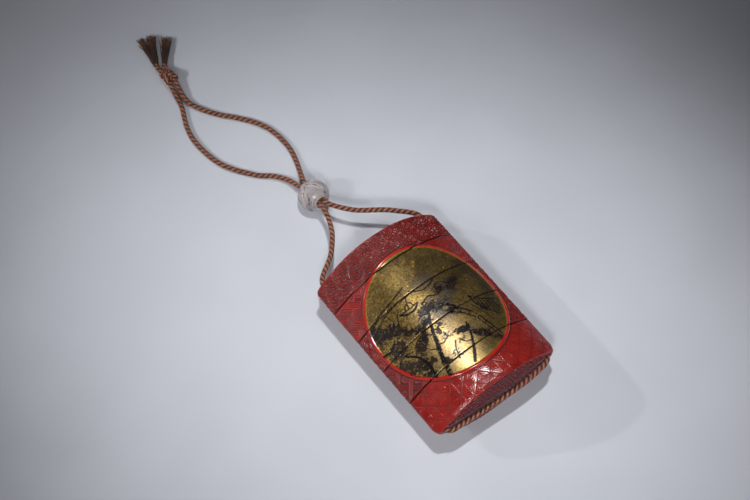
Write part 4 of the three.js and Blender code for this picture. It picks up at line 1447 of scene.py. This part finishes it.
def make_bead():
    """The carved bead, on its cords, with a hole whose rims are rounded."""
    bpy.ops.object.select_all(action="DESELECT")
    bpy.ops.mesh.primitive_uv_sphere_add(segments=180, ring_count=120, radius=BEAD_RADIUS * MM)
    bead = bpy.context.object
    bead.name = "crystal_bead"
    mesh = bead.data
    turn = Matrix.Rotation(-BEAD_TILT, 4, "X") @ Matrix.Rotation(-math.pi / 2, 4, "X")
    mesh.transform(turn)
    co = np.empty(len(mesh.vertices) * 3)
    mesh.vertices.foreach_get("co", co)
    co = co.reshape(-1, 3)
    way = co / np.linalg.norm(co, axis=1)[:, None]
    cut = np.zeros(len(way))
    for wide, deep, *points in BEAD_LINES:
        line = curve_through(points, 10)
        line /= np.linalg.norm(line, axis=1)[:, None]
        away = np.full(len(way), np.inf)
        for place in line:
            away = np.minimum(away, np.linalg.norm(way - place, axis=1) * BEAD_RADIUS)
        cut = np.maximum(cut, deep * (1 - smooth(0.15 * wide, wide, away)))
    along = way @ np.array(turn.to_3x3() @ Vector((0, 0, 1)))
    cut *= 1 - smooth(0.84, 0.9, np.abs(along))
    cut += 0.12 * (1 - np.cos(5 * np.arctan2(way[:, 2], way[:, 0]) + 2 * along)) / 2
    co = way * (BEAD_RADIUS - cut)[:, None] * MM
    mesh.vertices.foreach_set("co", co.ravel())
    mesh.update()
    patches_x, patches_y = way[:, 0] * 7 + 20, way[:, 1] * 7 + way[:, 2] * 4 + 30
    patchy = smooth(0.5, 0.62, cloud(patches_x, patches_y, 2.2, 77))
    add_finish(mesh, "grime", 0.95 * patchy * smooth(0.35, 0.6, cut) + 0.12 * smooth(0.3, 0.8, cut))
    bpy.ops.object.select_all(action="DESELECT")
    bpy.ops.mesh.primitive_cylinder_add(
        vertices=64, radius=HOLE_RADIUS * MM, depth=4 * BEAD_RADIUS * MM
    )
    hole = bpy.context.object
    hole.data.transform(turn)
    cut_with(bead, hole)
    select_only(bead)
    bevel = bead.modifiers.new("rim", "BEVEL")
    bevel.width = HOLE_RIM * MM
    bevel.segments = 2
    bevel.limit_method = "ANGLE"
    bevel.angle_limit = math.radians(50)
    bpy.ops.object.modifier_apply(modifier=bevel.name)
    bead.data.transform(Matrix.Translation(Vector(BEAD_PLACE) * MM))
    bead.data.materials.clear()
    bead.data.materials.append(crystal_material())
    bead.data.shade_smooth()
    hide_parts("bead")
    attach(bead, "root")
    return bead


bead = make_bead()

# The case
outside, inside = lacquer_material(), inside_material()
tiers = [make_tier("lid", lid_mesh(), (outside, inside), 1)]
for number in (1, 2, 3, 4):
    mouths = -1 if number == 4 else 0
    tiers.append(make_tier(f"case_{number}", case_mesh(number), (outside, inside), mouths))
for tier in tiers:
    values = np.empty(len(tier.data.vertices), np.float32)
    tier.data.attributes["inside"].data.foreach_get("value", values)
    for polygon in tier.data.polygons:
        if all(values[v] > 0.5 for v in polygon.vertices):
            polygon.material_index = 1


def make_floor():
    """A wide pale sheet under the case."""
    bpy.ops.object.select_all(action="DESELECT")
    bpy.ops.mesh.primitive_plane_add(size=4.0, location=(0, 0, 0))
    floor = bpy.context.object
    floor.name = "floor"
    m = Nodes("pale paper")
    paper = m.mix(m.ranged(m.noise(14, 2), 0.3, 0.7), srgb(198, 201, 209), srgb(204, 207, 215))
    m.link(paper, m.shader.inputs["Base Color"])
    m.set(Roughness=0.9)
    floor.data.materials.append(m.material)


def place_light(data, place, aim):
    """Puts a light at a place and turns it to its aim."""
    light = bpy.data.objects.new(data.name, data)
    light.location = place
    light.rotation_euler = (Vector(aim) - Vector(place)).to_track_quat("-Z", "Y").to_euler()
    bpy.context.scene.collection.objects.link(light)


def add_light(name, place, aim, size, spread, power):
    """A small soft light with a narrow beam."""
    data = bpy.data.lights.new(name, "AREA")
    data.shape = "DISK"
    data.size = size
    data.spread = math.radians(spread)
    data.energy = power
    place_light(data, place, aim)


def add_lamp():
    """A small soft-edged lamp over the case, which lights the floor less and less outwards."""
    data = bpy.data.lights.new("key", "SPOT")
    data.energy = 26.4
    data.shadow_soft_size = 0.035
    data.spot_size = math.radians(25)
    data.spot_blend = 1.0
    place_light(data, (0.112, 0.125, 1.097), (-0.025, -0.022, 0.0))


make_floor()
add_light("side", (-0.62, 0.16, 0.50), (-0.01, 0.165, 0.0), 0.12, 24.6, 0.050)
add_light("rim", (-0.575, 0.58, 0.45), (0.0, 0.0, 0.02), 0.024, 16, 0.015)
add_light("card", (0.12, -0.60, 0.22), (0.0, -0.04, 0.01), 0.24, 32, 0.012)
add_light("fill", (-0.30, -0.32, 0.50), (-0.01, -0.01, 0.0), 0.12, 34, 0.070)
add_lamp()

world = bpy.data.worlds.new("soft room")
bpy.context.scene.world = world
world.use_nodes = True
background = world.node_tree.nodes["Background"]
background.inputs["Color"].default_value = (0.86, 0.9, 1.0, 1.0)
background.inputs["Strength"].default_value = 0.075
bpy.context.scene.view_settings.view_transform = "Standard"
